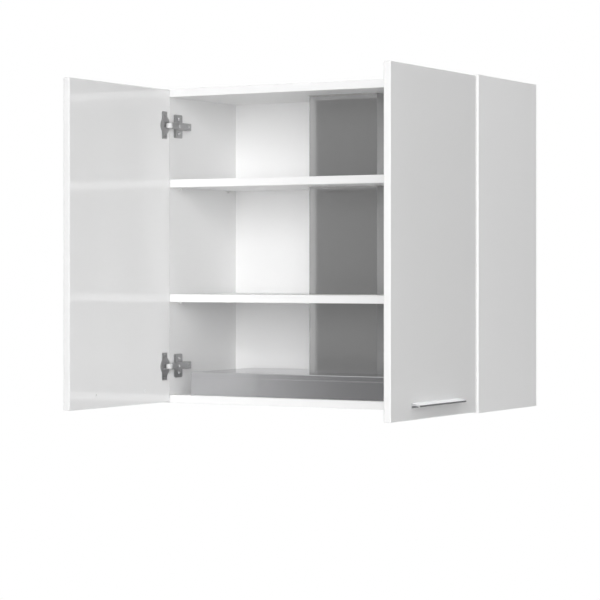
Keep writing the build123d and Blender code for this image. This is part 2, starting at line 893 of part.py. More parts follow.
# Mounting plate: two slotted wings and the rib that the arm straddles
def mounting_plate(level):
    rib_height = arm_rise - neck_sheet - rib_play
    with BuildPart() as plate:
        with BuildSketch(panel_plane(level)):
            with Locations((plate_start + plate_width / 2, 0)):
                RectangleRounded(plate_width, plate_height, plate_radius)
            with Locations(*[(plate_slot_setback, offset) for offset in plate_screw_offsets]):
                SlotOverall(plate_slot_length, plate_slot_width, rotation=90, mode=Mode.SUBTRACT)
        extrude(amount=plate_base)
        with BuildSketch(panel_plane(level)):
            with Locations((rib_start, 0)):
                Rectangle(rib_end - rib_start, 2 * rib_half, align=(Align.MIN, Align.CENTER))
        extrude(amount=rib_height)
        with BuildSketch(panel_plane(level).offset(plate_base)):
            with Locations(*[(system_line, offset) for offset in plate_screw_offsets]):
                Circle(plate_screw_radius + hole_play)
        extrude(amount=-plate_base, mode=Mode.SUBTRACT)
        with BuildSketch(panel_plane(level).offset(rib_height)):
            with Locations(*[(setback, 0) for setback in arm_screw_setbacks]):
                Circle(arm_screw_radius + hole_play)
        extrude(amount=plate_base / 2 - rib_height, mode=Mode.SUBTRACT)
    return plate.part


plate_solids = [mounting_plate(level) for level in hinge_levels]
with BuildPart() as mounting_plates_right:
    add(plate_solids)
mounting_plates_right.part.label = "mounting_plates_right"

with BuildPart() as mounting_plates_left:
    mirror(mounting_plates_right.part, about=Plane.YZ)
mounting_plates_left.part.label = "mounting_plates_left"

plate_screw_solids = [
    pan_screw(
        Plane(origin=(inner_half - plate_base, y, z), x_dir=(0, 1, 0), z_dir=(-1, 0, 0)),
        plate_screw_head,
        pan_head,
        plate_screw_radius,
        plate_screw_length,
    )
    for y, z in plate_holes
]
with BuildPart() as plate_screws:
    add(plate_screw_solids)
    mirror(plate_screw_solids, about=Plane.YZ)
plate_screws.part.label = "plate_screws"

arm_screw_solids = [
    pan_screw(
        Plane(origin=(arm_face, front + setback, level), x_dir=(0, 1, 0), z_dir=(-1, 0, 0)),
        arm_screw_head,
        pan_head,
        arm_screw_radius,
        arm_screw_length,
    )
    for level in hinge_levels
    for setback in arm_screw_setbacks
]
with BuildPart() as arm_screws:
    add(arm_screw_solids)
    mirror(arm_screw_solids, about=Plane.YZ)
arm_screws.part.label = "arm_screws"


# Handles: an extruded angle with a foot on the door, a sloping plate and a hanging lip
with BuildPart() as handle_right:
    with BuildSketch(Plane.XZ.offset(-handle_near)):
        with BuildLine():
            Polyline(
                (door_outer, handle_low),
                (door_outer + handle_foot, handle_low),
                (door_outer + handle_foot, handle_top - handle_plate),
                (door_outer + handle_reach - handle_foot, handle_top - handle_drop - handle_plate),
                (door_outer + handle_reach - handle_foot, handle_top - handle_drop - handle_lip),
                (door_outer + handle_reach, handle_top - handle_drop - handle_lip),
                (door_outer + handle_reach, handle_top - handle_drop),
                (door_outer + handle_foot, handle_top),
                (door_outer, handle_top),
                close=True,
            )
        make_face()
    extrude(amount=handle_length)
    corner = (door_outer + handle_foot, handle_near, handle_top - handle_plate)
    root = handle_right.edges().filter_by(Axis.Y).sort_by_distance(corner)[0]
    fillet(root, handle_foot)
    with BuildSketch(door_plane(door_low).offset(-door_board)):
        with Locations(*handle_screw_spots):
            Circle(handle_screw_radius + hole_play)
    extrude(amount=-(handle_screw_bite + hole_play), mode=Mode.SUBTRACT)
handle_right.part.label = "handle_right"

with BuildPart() as handle_left:
    mirror(handle_right.part, about=Plane.YZ)
handle_left.part.label = "handle_left"

handle_screw_solids = [
    flat_screw(
        Plane(door_plane(door_low).location * Location((u, v, 0))),
        handle_screw_head,
        handle_screw_head / 2,
        handle_screw_radius,
        door_board + handle_screw_bite,
    )
    for u, v in handle_screw_spots
]
with BuildPart() as handle_screws_right:
    add(handle_screw_solids)
handle_screws_right.part.label = "handle_screws_right"

with BuildPart() as handle_screws_left:
    mirror(handle_screws_right.part, about=Plane.YZ)
handle_screws_left.part.label = "handle_screws_left"


# Hood tray: walls on the bottom panel, a collar down through it and a floor for the filters
with BuildPart() as hood_body:
    with BuildSketch(Plane.XY.offset(floor)):
        with Locations((0, hood_centre)):
            Rectangle(body_width, body_depth)
    extrude(amount=hood_height - sheet)
    with BuildSketch(Plane.XY.offset(floor + sheet)):
        with Locations((0, hood_centre)):
            Rectangle(body_width - 2 * sheet, body_depth - 2 * sheet)
    extrude(amount=hood_height, mode=Mode.SUBTRACT)
    with BuildSketch(Plane.XY.offset(collar_low)):
        with Locations((0, hood_centre)):
            Rectangle(collar_width, collar_depth)
    extrude(amount=collar_drop + sheet)
    with BuildSketch(Plane.XY.offset(plate_top)):
        with Locations((0, hood_centre)):
            Rectangle(collar_width - 2 * sheet, collar_depth - 2 * sheet)
    extrude(amount=collar_drop, mode=Mode.SUBTRACT)
    with BuildSketch(Plane.XY.offset(collar_low)):
        with Locations((filter_centre_x, opening_centre), (-filter_centre_x, opening_centre)):
            Rectangle(filter_width + 2 * filter_gap, opening_rear - opening_front)
        with Locations(*lamp_spots):
            Circle(lamp_radius + hole_play)
        with Locations(*button_spots):
            Circle(button_radius + button_play)
    extrude(amount=sheet, mode=Mode.SUBTRACT)
    for side in (-1, 1):
        for lug_x in (filter_inner_x - filter_gap - lug_sheet, filter_outer_x + filter_gap):
            with BuildSketch(Plane.YZ.offset(side * lug_x)):
                with Locations((filter_axis_y, plate_top - sheet / 2)):
                    Rectangle(
                        2 * lug_half,
                        filter_axis_z + lug_half - plate_top + sheet / 2,
                        align=(Align.CENTER, Align.MIN),
                    )
                with Locations((filter_axis_y, filter_axis_z)):
                    Circle(trunnion_radius + running_play, mode=Mode.SUBTRACT)
            extrude(amount=side * lug_sheet)
        with BuildSketch(Plane.YZ.offset(side * hood_width / 2)):
            with Locations(*cover_screws, fascia_screw):
                Circle(casing_screw_radius + hole_play)
        extrude(amount=-side * casing_screw_length, mode=Mode.SUBTRACT)
hood_body.part.label = "hood_body"


# Front of the hood, folded round both ends; the strip above it belongs to the cover
with BuildPart() as hood_fascia:
    with BuildSketch(Plane.XY.offset(floor)):
        with Locations((0, hood_front)):
            Rectangle(hood_width, fascia_return, align=(Align.CENTER, Align.MIN))
    extrude(amount=fascia_height)
    fillet(hood_fascia.edges().filter_by(Axis.Z).group_by(Axis.Y)[0], sheet_edge)
    with BuildSketch(Plane.XY.offset(floor)):
        with Locations((0, hood_front + sheet)):
            Rectangle(hood_width - 2 * sheet, fascia_return, align=(Align.CENTER, Align.MIN))
    extrude(amount=fascia_height, mode=Mode.SUBTRACT)
    for side in (-1, 1):
        with BuildSketch(Plane.YZ.offset(side * hood_width / 2)):
            with Locations(fascia_screw):
                Circle(casing_screw_radius + hole_play)
        extrude(amount=-side * sheet, mode=Mode.SUBTRACT)
hood_fascia.part.label = "hood_fascia"


# Cover of the hood, with two air slots inside the chimney's foot and a hole for the gland
with BuildPart() as hood_cover:
    with BuildSketch(Plane.XY.offset(hood_top)):
        with Locations((0, hood_centre)):
            Rectangle(hood_width, hood_depth)
    extrude(amount=-rim_height)
    fillet(hood_cover.edges().filter_by(Axis.Z), sheet_edge)
    fillet(hood_cover.faces().sort_by(Axis.Z)[-1].edges(), cover_edge)
    with BuildSketch(Plane.XY.offset(hood_top - sheet)):
        with Locations((0, hood_centre)):
            Rectangle(hood_width - 2 * sheet, hood_depth - 2 * sheet)
    extrude(amount=-rim_height, mode=Mode.SUBTRACT)
    with BuildSketch(Plane.XY.offset(hood_top)):
        with Locations((-intake_offset, duct_centre), (intake_offset, duct_centre)):
            Rectangle(intake_width, intake_depth)
        with Locations((gland_x, gland_y)):
            Circle(gland_radius + hole_play)
    extrude(amount=-sheet, mode=Mode.SUBTRACT)
    for side in (-1, 1):
        with BuildSketch(Plane.YZ.offset(side * hood_width / 2)):
            with Locations(*cover_screws):
                Circle(casing_screw_radius + hole_play)
        extrude(amount=-side * sheet, mode=Mode.SUBTRACT)
hood_cover.part.label = "hood_cover"

casing_screw_solids = [
    pan_screw(
        Plane(origin=(hood_width / 2, y, z), x_dir=(0, 1, 0), z_dir=(1, 0, 0)),
        casing_screw_head,
        pan_head,
        casing_screw_radius,
        casing_screw_length,
    )
    for y, z in (*cover_screws, fascia_screw)
]
with BuildPart() as casing_screws:
    add(casing_screw_solids)
    mirror(casing_screw_solids, about=Plane.YZ)
casing_screws.part.label = "casing_screws"


# Chimney duct up through the top panel, with a foot turned inwards on the cover
with BuildPart() as chimney_duct:
    with BuildSketch(Plane.XY.offset(hood_top)):
        with Locations((0, duct_centre)):
            RectangleRounded(duct_width, duct_depth, duct_radius)
    extrude(amount=top - hood_top)
    with BuildSketch(Plane.XY.offset(hood_top + sheet)):
        with Locations((0, duct_centre)):
            Rectangle(duct_width - 2 * sheet, duct_depth - 2 * sheet)
    extrude(amount=top - hood_top, mode=Mode.SUBTRACT)
    with BuildSketch(Plane.XY.offset(hood_top)):
        with Locations((0, duct_centre)):
            Rectangle(
                duct_width - 2 * (sheet + duct_foot),
                duct_depth - 2 * (sheet + duct_foot),
            )
    extrude(amount=sheet, mode=Mode.SUBTRACT)
chimney_duct.part.label = "chimney_duct"


# Blower casing: a spiral round the wheel whose outlet points upwards
def scroll_profile(x, inset):
    """The casing's outline in the plane at x, moved inwards by the inset."""
    start = degrees(acos((outlet_near + inset - scroll_y) / (scroll_start - inset)))
    curve = [
        (
            scroll_y + (scroll_radius(angle) - inset) * cos(radians(angle)),
            scroll_z + (scroll_radius(angle) - inset) * sin(radians(angle)),
        )
        for angle in (
            start + (full_turn - start) * step / scroll_points for step in range(scroll_points + 1)
        )
    ]
    with BuildSketch(Plane.YZ.offset(x)) as profile:
        with BuildLine():
            Spline(*curve)
            Polyline(
                curve[-1],
                (outlet_far - inset, outlet_z),
                (outlet_near + inset, outlet_z),
                curve[0],
            )
        make_face()
    return profile.sketch


casing_outline = scroll_profile(-lid_x, 0)
casing_hollow = scroll_profile(scroll_wall - lid_x, scroll_wall)
lid_outline = scroll_profile(lid_x, 0)

with BuildPart() as blower_scroll:
    extrude(casing_outline, amount=scroll_width)
    with BuildSketch(Plane.XY.offset(hood_top)):
        with Locations((0, scroll_y - scroll_foot_offset), (0, scroll_y + scroll_foot_offset)):
            Rectangle(scroll_width, scroll_foot)
    extrude(amount=scroll_stand + scroll_start / 2)
    extrude(casing_hollow, amount=scroll_width, mode=Mode.SUBTRACT)
    with BuildSketch(Plane.YZ.offset(-lid_x)):
        with Locations((scroll_y, scroll_z)):
            Circle(inlet_radius)
    extrude(amount=scroll_wall, mode=Mode.SUBTRACT)
blower_scroll.part.label = "blower_scroll"

with BuildPart() as blower_lid:
    extrude(lid_outline, amount=scroll_wall)
    with BuildSketch(Plane.YZ.offset(lid_x)):
        with Locations((scroll_y, scroll_z)):
            Circle(inlet_radius)
    extrude(amount=scroll_wall, mode=Mode.SUBTRACT)
    with BuildSketch(Plane.YZ.offset(lid_x)):
        with Locations((scroll_y, scroll_z)):
            with PolarLocations(0, 3, start_angle=90):
                Rectangle(inlet_radius + scroll_wall, spider_arm, align=(Align.MIN, Align.CENTER))
    extrude(amount=scroll_wall)
    with BuildSketch(Plane.YZ.offset(lid_x)):
        with Locations((scroll_y, scroll_z)):
            Circle(spider_hub)
    extrude(amount=scroll_wall + motor_stand)
    with BuildSketch(Plane.YZ.offset(lid_x)):
        with Locations((scroll_y, scroll_z)):
            Circle(shaft_radius + shaft_play)
    extrude(amount=scroll_wall + motor_stand, mode=Mode.SUBTRACT)
blower_lid.part.label = "blower_lid"


# Motor with a blind bearing bore, its shaft and the bladed wheel
with BuildPart() as motor:
    with BuildSketch(Plane.YZ.offset(motor_x)):
        with Locations((scroll_y, scroll_z)):
            Circle(motor_radius)
    extrude(amount=motor_length)
    chamfer(motor.edges(), motor_edge)
    with BuildSketch(Plane.YZ.offset(motor_x)):
        with Locations((scroll_y, scroll_z)):
            Circle(shaft_radius + running_play)
    extrude(amount=shaft_in_motor + motor_edge, mode=Mode.SUBTRACT)
motor.part.label = "motor"

with BuildPart() as motor_shaft:
    with BuildSketch(Plane.YZ.offset(-wheel_hub_length / 2)):
        with Locations((scroll_y, scroll_z)):
            Circle(shaft_radius)
    extrude(amount=wheel_hub_length / 2 + motor_x + shaft_in_motor)
motor_shaft.part.label = "motor_shaft"

with BuildPart() as impeller:
    for width, radius in ((wheel_disc, wheel_radius), (wheel_hub_length, wheel_hub)):
        with BuildSketch(Plane.YZ):
            with Locations((scroll_y, scroll_z)):
                Circle(radius)
        extrude(amount=width / 2, both=True)
    with BuildSketch(Plane.YZ.offset(-wheel_width / 2)):
        with BuildLine():
            for blade in range(blade_count):
                turn = 2 * pi * blade / blade_count
                lean = radians(blade_lean)
                near = wheel_radius - blade_depth
                far = wheel_radius - blade_thickness
                RadiusArc(
                    (scroll_y + near * cos(turn), scroll_z + near * sin(turn)),
                    (scroll_y + far * cos(turn + lean), scroll_z + far * sin(turn + lean)),
                    blade_radius,
                )
        trace(line_width=blade_thickness)
    extrude(amount=wheel_width)
    for ring_x in (-wheel_width / 2, wheel_width / 2 - wheel_ring):
        with BuildSketch(Plane.YZ.offset(ring_x)):
            with Locations((scroll_y, scroll_z)):
                Circle(wheel_radius)
                Circle(wheel_radius - blade_depth / 2, mode=Mode.SUBTRACT)
        extrude(amount=wheel_ring)
    with BuildSketch(Plane.YZ):
        with Locations((scroll_y, scroll_z)):
            Circle(shaft_radius + running_play)
    extrude(amount=wheel_hub_length / 2, both=True, mode=Mode.SUBTRACT)
impeller.part.label = "impeller"


# Flue from the blower's square outlet to the round collar at the top
with BuildPart() as flue_pipe:
    for inset, mode in ((0, Mode.ADD), (1, Mode.SUBTRACT)):
        with BuildSketch(Plane.XY.offset(outlet_z)):
            with Locations((scroll_wall / 2, (outlet_near + outlet_far) / 2)):
                Rectangle(
                    scroll_width + scroll_wall - 2 * inset * scroll_wall,
                    outlet_far - outlet_near - 2 * inset * scroll_wall,
                )
        with BuildSketch(Plane.XY.offset(outlet_z + transition_height)):
            with Locations((0, duct_centre)):
                Circle(outlet_radius - inset * flue_wall)
        loft(mode=mode)
    with BuildSketch(Plane.XY.offset(outlet_z + transition_height)):
        with Locations((0, duct_centre)):
            Circle(outlet_radius)
            Circle(flue_radius, mode=Mode.SUBTRACT)
    extrude(amount=collar_plate_z - outlet_z - transition_height)
    with BuildSketch(Plane.YZ.offset(-outlet_radius)):
        with Locations(*axle_spots):
            Circle(axle_radius + hole_play)
    extrude(amount=2 * outlet_radius, mode=Mode.SUBTRACT)
flue_pipe.part.label = "flue_pipe"

with BuildPart() as outlet_collar:
    with BuildSketch(Plane.XY.offset(collar_plate_z)):
        with Locations((0, duct_centre)):
            Rectangle(
                duct_width - 2 * (sheet + collar_margin),
                duct_depth - 2 * (sheet + collar_margin),
            )
    extrude(amount=flue_wall)
    with BuildSketch(Plane.XY.offset(collar_plate_z)):
        with Locations((0, duct_centre)):
            Circle(outlet_radius + flue_wall)
    extrude(amount=collar_length)
    with BuildSketch(Plane.XY.offset(collar_plate_z)):
        with Locations((0, duct_centre)):
            Circle(outlet_radius)
    extrude(amount=collar_length, mode=Mode.SUBTRACT)
outlet_collar.part.label = "outlet_collar"


# Backdraft flaps: two half discs, each with a barrel round its own axle
with BuildPart() as damper_axles:
    with BuildSketch(Plane.YZ.offset(-outlet_radius)):
        with Locations(*axle_spots):
            Circle(axle_radius)
    extrude(amount=2 * outlet_radius)
damper_axles.part.label = "damper_axles"

with BuildPart() as damper_flap_front:
    with BuildSketch(Plane.XY.offset(flap_z - flap_thickness / 2)):
        with Locations((0, duct_centre)):
            Circle(flue_radius - flap_play)
        with Locations((0, duct_centre - axle_offset)):
            Rectangle(
                2 * outlet_radius,
                2 * outlet_radius,
                align=(Align.CENTER, Align.MIN),
                mode=Mode.SUBTRACT,
            )
    extrude(amount=flap_thickness)
    with BuildSketch(Plane.YZ.offset(-barrel_half)):
        with Locations(axle_spots[0]):
            Circle(barrel_radius)
    extrude(amount=2 * barrel_half)
    with BuildSketch(Plane.YZ.offset(-outlet_radius)):
        with Locations(axle_spots[0]):
            Circle(axle_radius + running_play)
    extrude(amount=2 * outlet_radius, mode=Mode.SUBTRACT)
damper_flap_front.part.label = "damper_flap_front"

with BuildPart() as damper_flap_rear:
    mirror(damper_flap_front.part, about=Plane.XZ.offset(-duct_centre))
damper_flap_rear.part.label = "damper_flap_rear"


# Grease filters: a frame with two trunnions at its rear edge and the metal mesh in it
with BuildPart() as filter_frame_right:
    with BuildSketch(Plane.XY.offset(collar_low)):
        with Locations((filter_centre_x, filter_centre_y)):
            RectangleRounded(filter_width, filter_depth, filter_corner)
    extrude(amount=filter_thickness)
    with BuildSketch(Plane.XY.offset(collar_low + filter_lip)):
        with Locations((filter_centre_x, filter_centre_y)):
            Rectangle(filter_width - 2 * filter_rail, filter_depth - 2 * filter_rail)
    extrude(amount=filter_thickness, mode=Mode.SUBTRACT)
    with BuildSketch(Plane.XY.offset(collar_low)):
        with Locations((filter_centre_x, filter_centre_y)):
            Rectangle(
                filter_width - 2 * (filter_rail + filter_ledge),
                filter_depth - 2 * (filter_rail + filter_ledge),
            )
    extrude(amount=filter_lip, mode=Mode.SUBTRACT)
    with BuildSketch(Plane.YZ.offset(filter_inner_x + trunnion_length)):
        with Locations((filter_axis_y, filter_axis_z)):
            Circle(trunnion_radius)
    extrude(amount=-2 * trunnion_length)
    with BuildSketch(Plane.YZ.offset(filter_outer_x - trunnion_length)):
        with Locations((filter_axis_y, filter_axis_z)):
            Circle(trunnion_radius)
    extrude(amount=2 * trunnion_length)
    with BuildSketch(Plane.XY.offset(collar_low)):
        with Locations((filter_centre_x, filter_front + filter_rail / 2)):
            Rectangle(pull_width, pull_depth)
    extrude(amount=-pull_height)
filter_frame_right.part.label = "filter_frame_right"

with BuildPart() as filter_frame_left:
    mirror(filter_frame_right.part, about=Plane.YZ)
filter_frame_left.part.label = "filter_frame_left"

with BuildPart() as filter_mesh_right:
    with BuildSketch(Plane.XY.offset(collar_low + filter_lip)):
        with Locations((filter_centre_x, filter_centre_y)):
            Rectangle(mesh_width, mesh_depth)
            with GridLocations(mesh_pitch_x, mesh_pitch_y, mesh_columns, mesh_rows):
                Rectangle(mesh_pitch_x - mesh_web, mesh_pitch_y - mesh_web, mode=Mode.SUBTRACT)
    extrude(amount=mesh_thickness)
filter_mesh_right.part.label = "filter_mesh_right"

with BuildPart() as filter_mesh_left:
    mirror(filter_mesh_right.part, about=Plane.YZ)
filter_mesh_left.part.label = "filter_mesh_left"


# Lamps in the strip before the filters
with BuildPart() as lamp_rings:
    with BuildSketch(Plane.XY.offset(collar_low)):
        with Locations(*lamp_spots):
            Circle(lamp_flange)
    extrude(amount=-lamp_flange_height)
    with BuildSketch(Plane.XY.offset(collar_low - lamp_flange_height)):
        with Locations(*lamp_spots):
            Circle(lamp_radius)
    extrude(amount=lamp_flange_height + lamp_height)
    with BuildSketch(Plane.XY.offset(collar_low - lamp_flange_height)):
        with Locations(*lamp_spots):
            Circle(lamp_radius - lamp_wall)
    extrude(amount=lamp_flange_height + lamp_height - lamp_wall, mode=Mode.SUBTRACT)
lamp_rings.part.label = "lamp_rings"

with BuildPart() as lamp_lenses:
    with BuildSketch(Plane.XY.offset(collar_low - lamp_flange_height / 2)):
        with Locations(*lamp_spots):
            Circle(lamp_radius - lamp_wall - hole_play)
    extrude(amount=lens_thickness)
lamp_lenses.part.label = "lamp_lenses"


# Push buttons: a cap through the floor plate, a collar above it and a stem to the switch
def push_button(x):
    with BuildPart() as button:
        with BuildSketch(Plane.XY.offset(button_low)):
            with Locations((x, strip_y)):
                Circle(button_radius)
        extrude(amount=plate_top + hole_play - button_low)
        with BuildSketch(Plane.XY.offset(plate_top + hole_play)):
            with Locations((x, strip_y)):
                Circle(button_collar)
        extrude(amount=button_collar_height)
        with BuildSketch(Plane.XY.offset(button_low)):
            with Locations((x, strip_y)):
                Circle(button_stem_radius)
        extrude(amount=button_height)
        chamfer(button.faces().sort_by(Axis.Z)[0].edges(), button_play)
    return button


button_light, button_speed_1, button_speed_2, button_speed_3 = map(push_button, button_places)
button_light.part.label = "button_light"
button_speed_1.part.label = "button_speed_1"
button_speed_2.part.label = "button_speed_2"
button_speed_3.part.label = "button_speed_3"

with BuildPart() as control_board:
    with BuildSketch(Plane.XY.offset(circuit_board_low)):
        with Locations((0, strip_y)):
            Rectangle(circuit_board_width, circuit_board_depth)
    extrude(amount=circuit_board)
    with BuildSketch(Plane.XY.offset(switch_low)):
        with Locations(*button_spots):
            Rectangle(switch_size, switch_size)
    extrude(amount=switch_height)
    with BuildSketch(Plane.XY.offset(plate_top)):
        with Locations((0, strip_y)):
            with GridLocations(
                circuit_board_width - 2 * post_margin,
                circuit_board_depth - 2 * post_margin,
                2,
                2,
            ):
                Circle(post_radius)
    extrude(amount=circuit_board_low - plate_top)
control_board.part.label = "control_board"


# Gland for the mains cord, which is not shown
with BuildPart() as cable_gland:
    with BuildSketch(Plane.XY.offset(hood_top)):
        with Locations((gland_x, gland_y)):
            Circle(gland_flange)
    extrude(amount=gland_flange_height)
    with BuildSketch(Plane.XY.offset(hood_top - sheet - gland_tail)):
        with Locations((gland_x, gland_y)):
            Circle(gland_radius)
    extrude(amount=sheet + gland_tail + gland_height)
    chamfer(cable_gland.faces().sort_by(Axis.Z)[-1].edges(), gland_edge)
    with BuildSketch(Plane.XY.offset(hood_top - sheet - gland_tail)):
        with Locations((gland_x, gland_y)):
            Circle(gland_bore)
    extrude(amount=sheet + gland_tail + gland_height, mode=Mode.SUBTRACT)
cable_gland.part.label = "cable_gland"


nodes = [
    side_panel_left,
    side_panel_right,
    top_panel,
    bottom_panel,
    back_panel,
    shelf_lower,
    shelf_upper,
    shelf_pins,
    dowels,
    cam_locks,
    cam_bolts,
    hanging_plate_left,
    hanging_plate_right,
    hanging_screws,
    door_left,
    door_right,
    hinge_cups_left,
    hinge_cups_right,
    hinge_pins_left,
    hinge_pins_right,
    cup_screws_left,
    cup_screws_right,
    hinge_arms_left,
    hinge_arms_right,
    mounting_plates_left,
    mounting_plates_right,
    plate_screws,
    arm_screws,
    handle_left,
    handle_right,
    handle_screws_left,
    handle_screws_right,
    hood_body,
    hood_fascia,
    hood_cover,
    casing_screws,
    chimney_duct,
    blower_scroll,
    blower_lid,
    motor,
    motor_shaft,
    impeller,
    flue_pipe,
    outlet_collar,
    damper_axles,
    damper_flap_front,
    damper_flap_rear,
    filter_frame_left,
    filter_frame_right,
    filter_mesh_left,
    filter_mesh_right,
    lamp_rings,
    lamp_lenses,
    button_light,
    button_speed_1,
    button_speed_2,
    button_speed_3,
    control_board,
    cable_gland,
]
for node in nodes:
    export_step(node.part, "parts/" + node.part.label + ".step")
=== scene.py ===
"""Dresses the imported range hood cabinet: laminate, steel and fittings, in soft studio light."""

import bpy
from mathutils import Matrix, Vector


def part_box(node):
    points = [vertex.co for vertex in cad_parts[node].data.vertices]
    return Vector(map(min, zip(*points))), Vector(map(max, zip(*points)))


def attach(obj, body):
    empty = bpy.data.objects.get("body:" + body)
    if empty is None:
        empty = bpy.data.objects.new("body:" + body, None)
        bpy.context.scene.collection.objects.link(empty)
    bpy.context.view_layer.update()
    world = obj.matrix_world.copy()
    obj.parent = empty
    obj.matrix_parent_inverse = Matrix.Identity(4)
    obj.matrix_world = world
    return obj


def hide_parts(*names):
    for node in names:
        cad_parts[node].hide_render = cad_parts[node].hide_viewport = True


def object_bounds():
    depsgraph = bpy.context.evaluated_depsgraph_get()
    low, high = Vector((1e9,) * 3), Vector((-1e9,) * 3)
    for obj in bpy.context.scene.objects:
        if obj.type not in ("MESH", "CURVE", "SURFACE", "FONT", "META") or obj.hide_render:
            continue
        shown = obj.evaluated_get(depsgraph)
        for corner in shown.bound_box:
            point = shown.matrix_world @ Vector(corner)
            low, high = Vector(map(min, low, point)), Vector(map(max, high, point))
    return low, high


bl_info = {
    "name": "Range hood cabinet",
    "version": (1, 0, 0),
    "blender": (4, 5, 0),
    "location": "View3D > Sidebar > Cabinet",
    "description": "Finishes, small fittings and studio for a wall cabinet with a built-in hood",
    "category": "Object",
}

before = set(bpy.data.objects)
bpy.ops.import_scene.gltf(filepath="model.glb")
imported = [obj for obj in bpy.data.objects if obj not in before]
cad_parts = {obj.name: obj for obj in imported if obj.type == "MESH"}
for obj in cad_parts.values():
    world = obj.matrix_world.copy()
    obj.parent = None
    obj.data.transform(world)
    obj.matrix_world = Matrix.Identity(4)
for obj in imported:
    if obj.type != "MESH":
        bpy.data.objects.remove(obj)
cad_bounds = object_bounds()

import math

import bmesh
import bpy
from bpy.props import FloatProperty, FloatVectorProperty, PointerProperty
from bpy.types import NodeSocket, Operator, Panel, PropertyGroup
from mathutils import Matrix, Vector

MM = 0.001
WHITE = (1.0, 1.0, 1.0, 1.0)
HARD_EDGE = math.radians(35)


# Sizes and colours that a user would change


def colour_property(name, description, default):
    return FloatVectorProperty(
        name=name,
        description=description,
        subtype="COLOR",
        size=3,
        min=0.0,
        max=1.0,
        default=default,
    )


def length_property(name, description, default, least=0.0):
    return FloatProperty(
        name=name, description=description, default=default, min=least, unit="LENGTH"
    )


def share_property(name, description, default, least=0.0, most=1.0):
    return FloatProperty(
        name=name, description=description, default=default, min=least, max=most, subtype="FACTOR"
    )


def power_property(name, description, default):
    return FloatProperty(
        name=name, description=description, default=default, min=0.0, unit="POWER"
    )


class LaminateLooks(PropertyGroup):
    carcass: colour_property("Carcass", "White melamine of the panels", (0.92, 0.92, 0.92))
    door: colour_property("Doors", "High-gloss white of the doors", (0.885, 0.885, 0.885))
    back: colour_property("Back", "White of the thin back panel", (0.93, 0.93, 0.93))
    chips: colour_property("Chipboard", "Raw chipboard in bores and cut-outs", (0.5, 0.36, 0.22))
    hardboard: colour_property("Hardboard", "Raw rear of the back panel", (0.3, 0.18, 0.1))
    edge_band: length_property(
        "Edge band", "Thickness of the band on the boards' front edges", 1 * MM
    )
    carcass_roughness: share_property("Carcass roughness", "How matt the melamine is", 0.42)
    door_roughness: share_property("Door roughness", "How matt the door faces are", 0.02)


class SteelLooks(PropertyGroup):
    hood: colour_property("Hood steel", "Brushed stainless of the canopy", (0.65, 0.65, 0.665))
    duct: colour_property("Duct steel", "Satin stainless of the chimney", (0.37, 0.37, 0.37))
    galvanised: colour_property("Galvanised sheet", "Blower casing and flue", (0.5, 0.52, 0.54))
    hinge: colour_property("Nickel plate", "Cup hinges and their plates", (0.5, 0.5, 0.505))
    screw: colour_property("Bright screws", "Zinc-plated screw heads", (0.8, 0.8, 0.81))
    handle: colour_property("Handle", "Anodised aluminium of the handles", (0.85, 0.86, 0.87))
    filter: colour_property("Filter", "Aluminium of the grease filters", (0.7, 0.71, 0.72))


class SmallSizes(PropertyGroup):
    mesh_cell: length_property(
        "Mesh cell", "Long way of one diamond of the filters' expanded sheet", 14 * MM, 4 * MM
    )
    mesh_strand: length_property(
        "Mesh strand", "Width of the strands of the filters' expanded sheet", 1.2 * MM, 0.3 * MM
    )
    lens_rib: length_property(
        "Lens rib", "Width of one of the rings moulded in the lamp lenses", 1.6 * MM, 0.4 * MM
    )
    recess: share_property(
        "Cross recess",
        "Half the width of a screw's cross recess, as a share of the head's radius",
        0.66,
        0.2,
        0.8,
    )


class StageLooks(PropertyGroup):
    floor_drop: length_property("Floor below cabinet", "Cabinet's underside above the floor", 1.4)
    ambient: FloatProperty(
        name="Ambient level",
        description="Strength of the even light from all round",
        default=0.1,
        min=0.0,
    )
    key_power: power_property("Key light", "Power of the large front light", 292.0)
    fill_power: power_property("Fill light", "Power of the large light to the right", 136.0)
    high_power: power_property(
        "High light", "Power of the far light high above the right side", 130.0
    )
    rear_power: power_property(
        "Rear light", "Power of the large light behind the left side, for other cameras", 330.0
    )
    accent_power: power_property(
        "Handle light", "Power of the narrow light from above on the right handle's top", 115.0
    )
    flag_level: share_property(
        "Flag level", "Brightness of the grey studio walls that only metal and gloss reflect", 0.14
    )
    camera_place: FloatVectorProperty(
        name="Camera place",
        description="Where the camera stands",
        subtype="TRANSLATION",
        unit="LENGTH",
        size=3,
        default=(2.4565, -4.6713, -0.37325),
    )
    camera_turn: FloatProperty(
        name="Camera turn",
        description="How far the camera is turned to the left of the wall's normal",
        subtype="ANGLE",
        default=math.radians(29.72),
    )
    lens: FloatProperty(
        name="Lens", description="Focal length in millimetres", default=135.807, min=1.0
    )
    shift: FloatProperty(
        name="Vertical shift",
        description="Lens shift that keeps uprights parallel",
        default=-0.0479,
    )


# Shader nodes


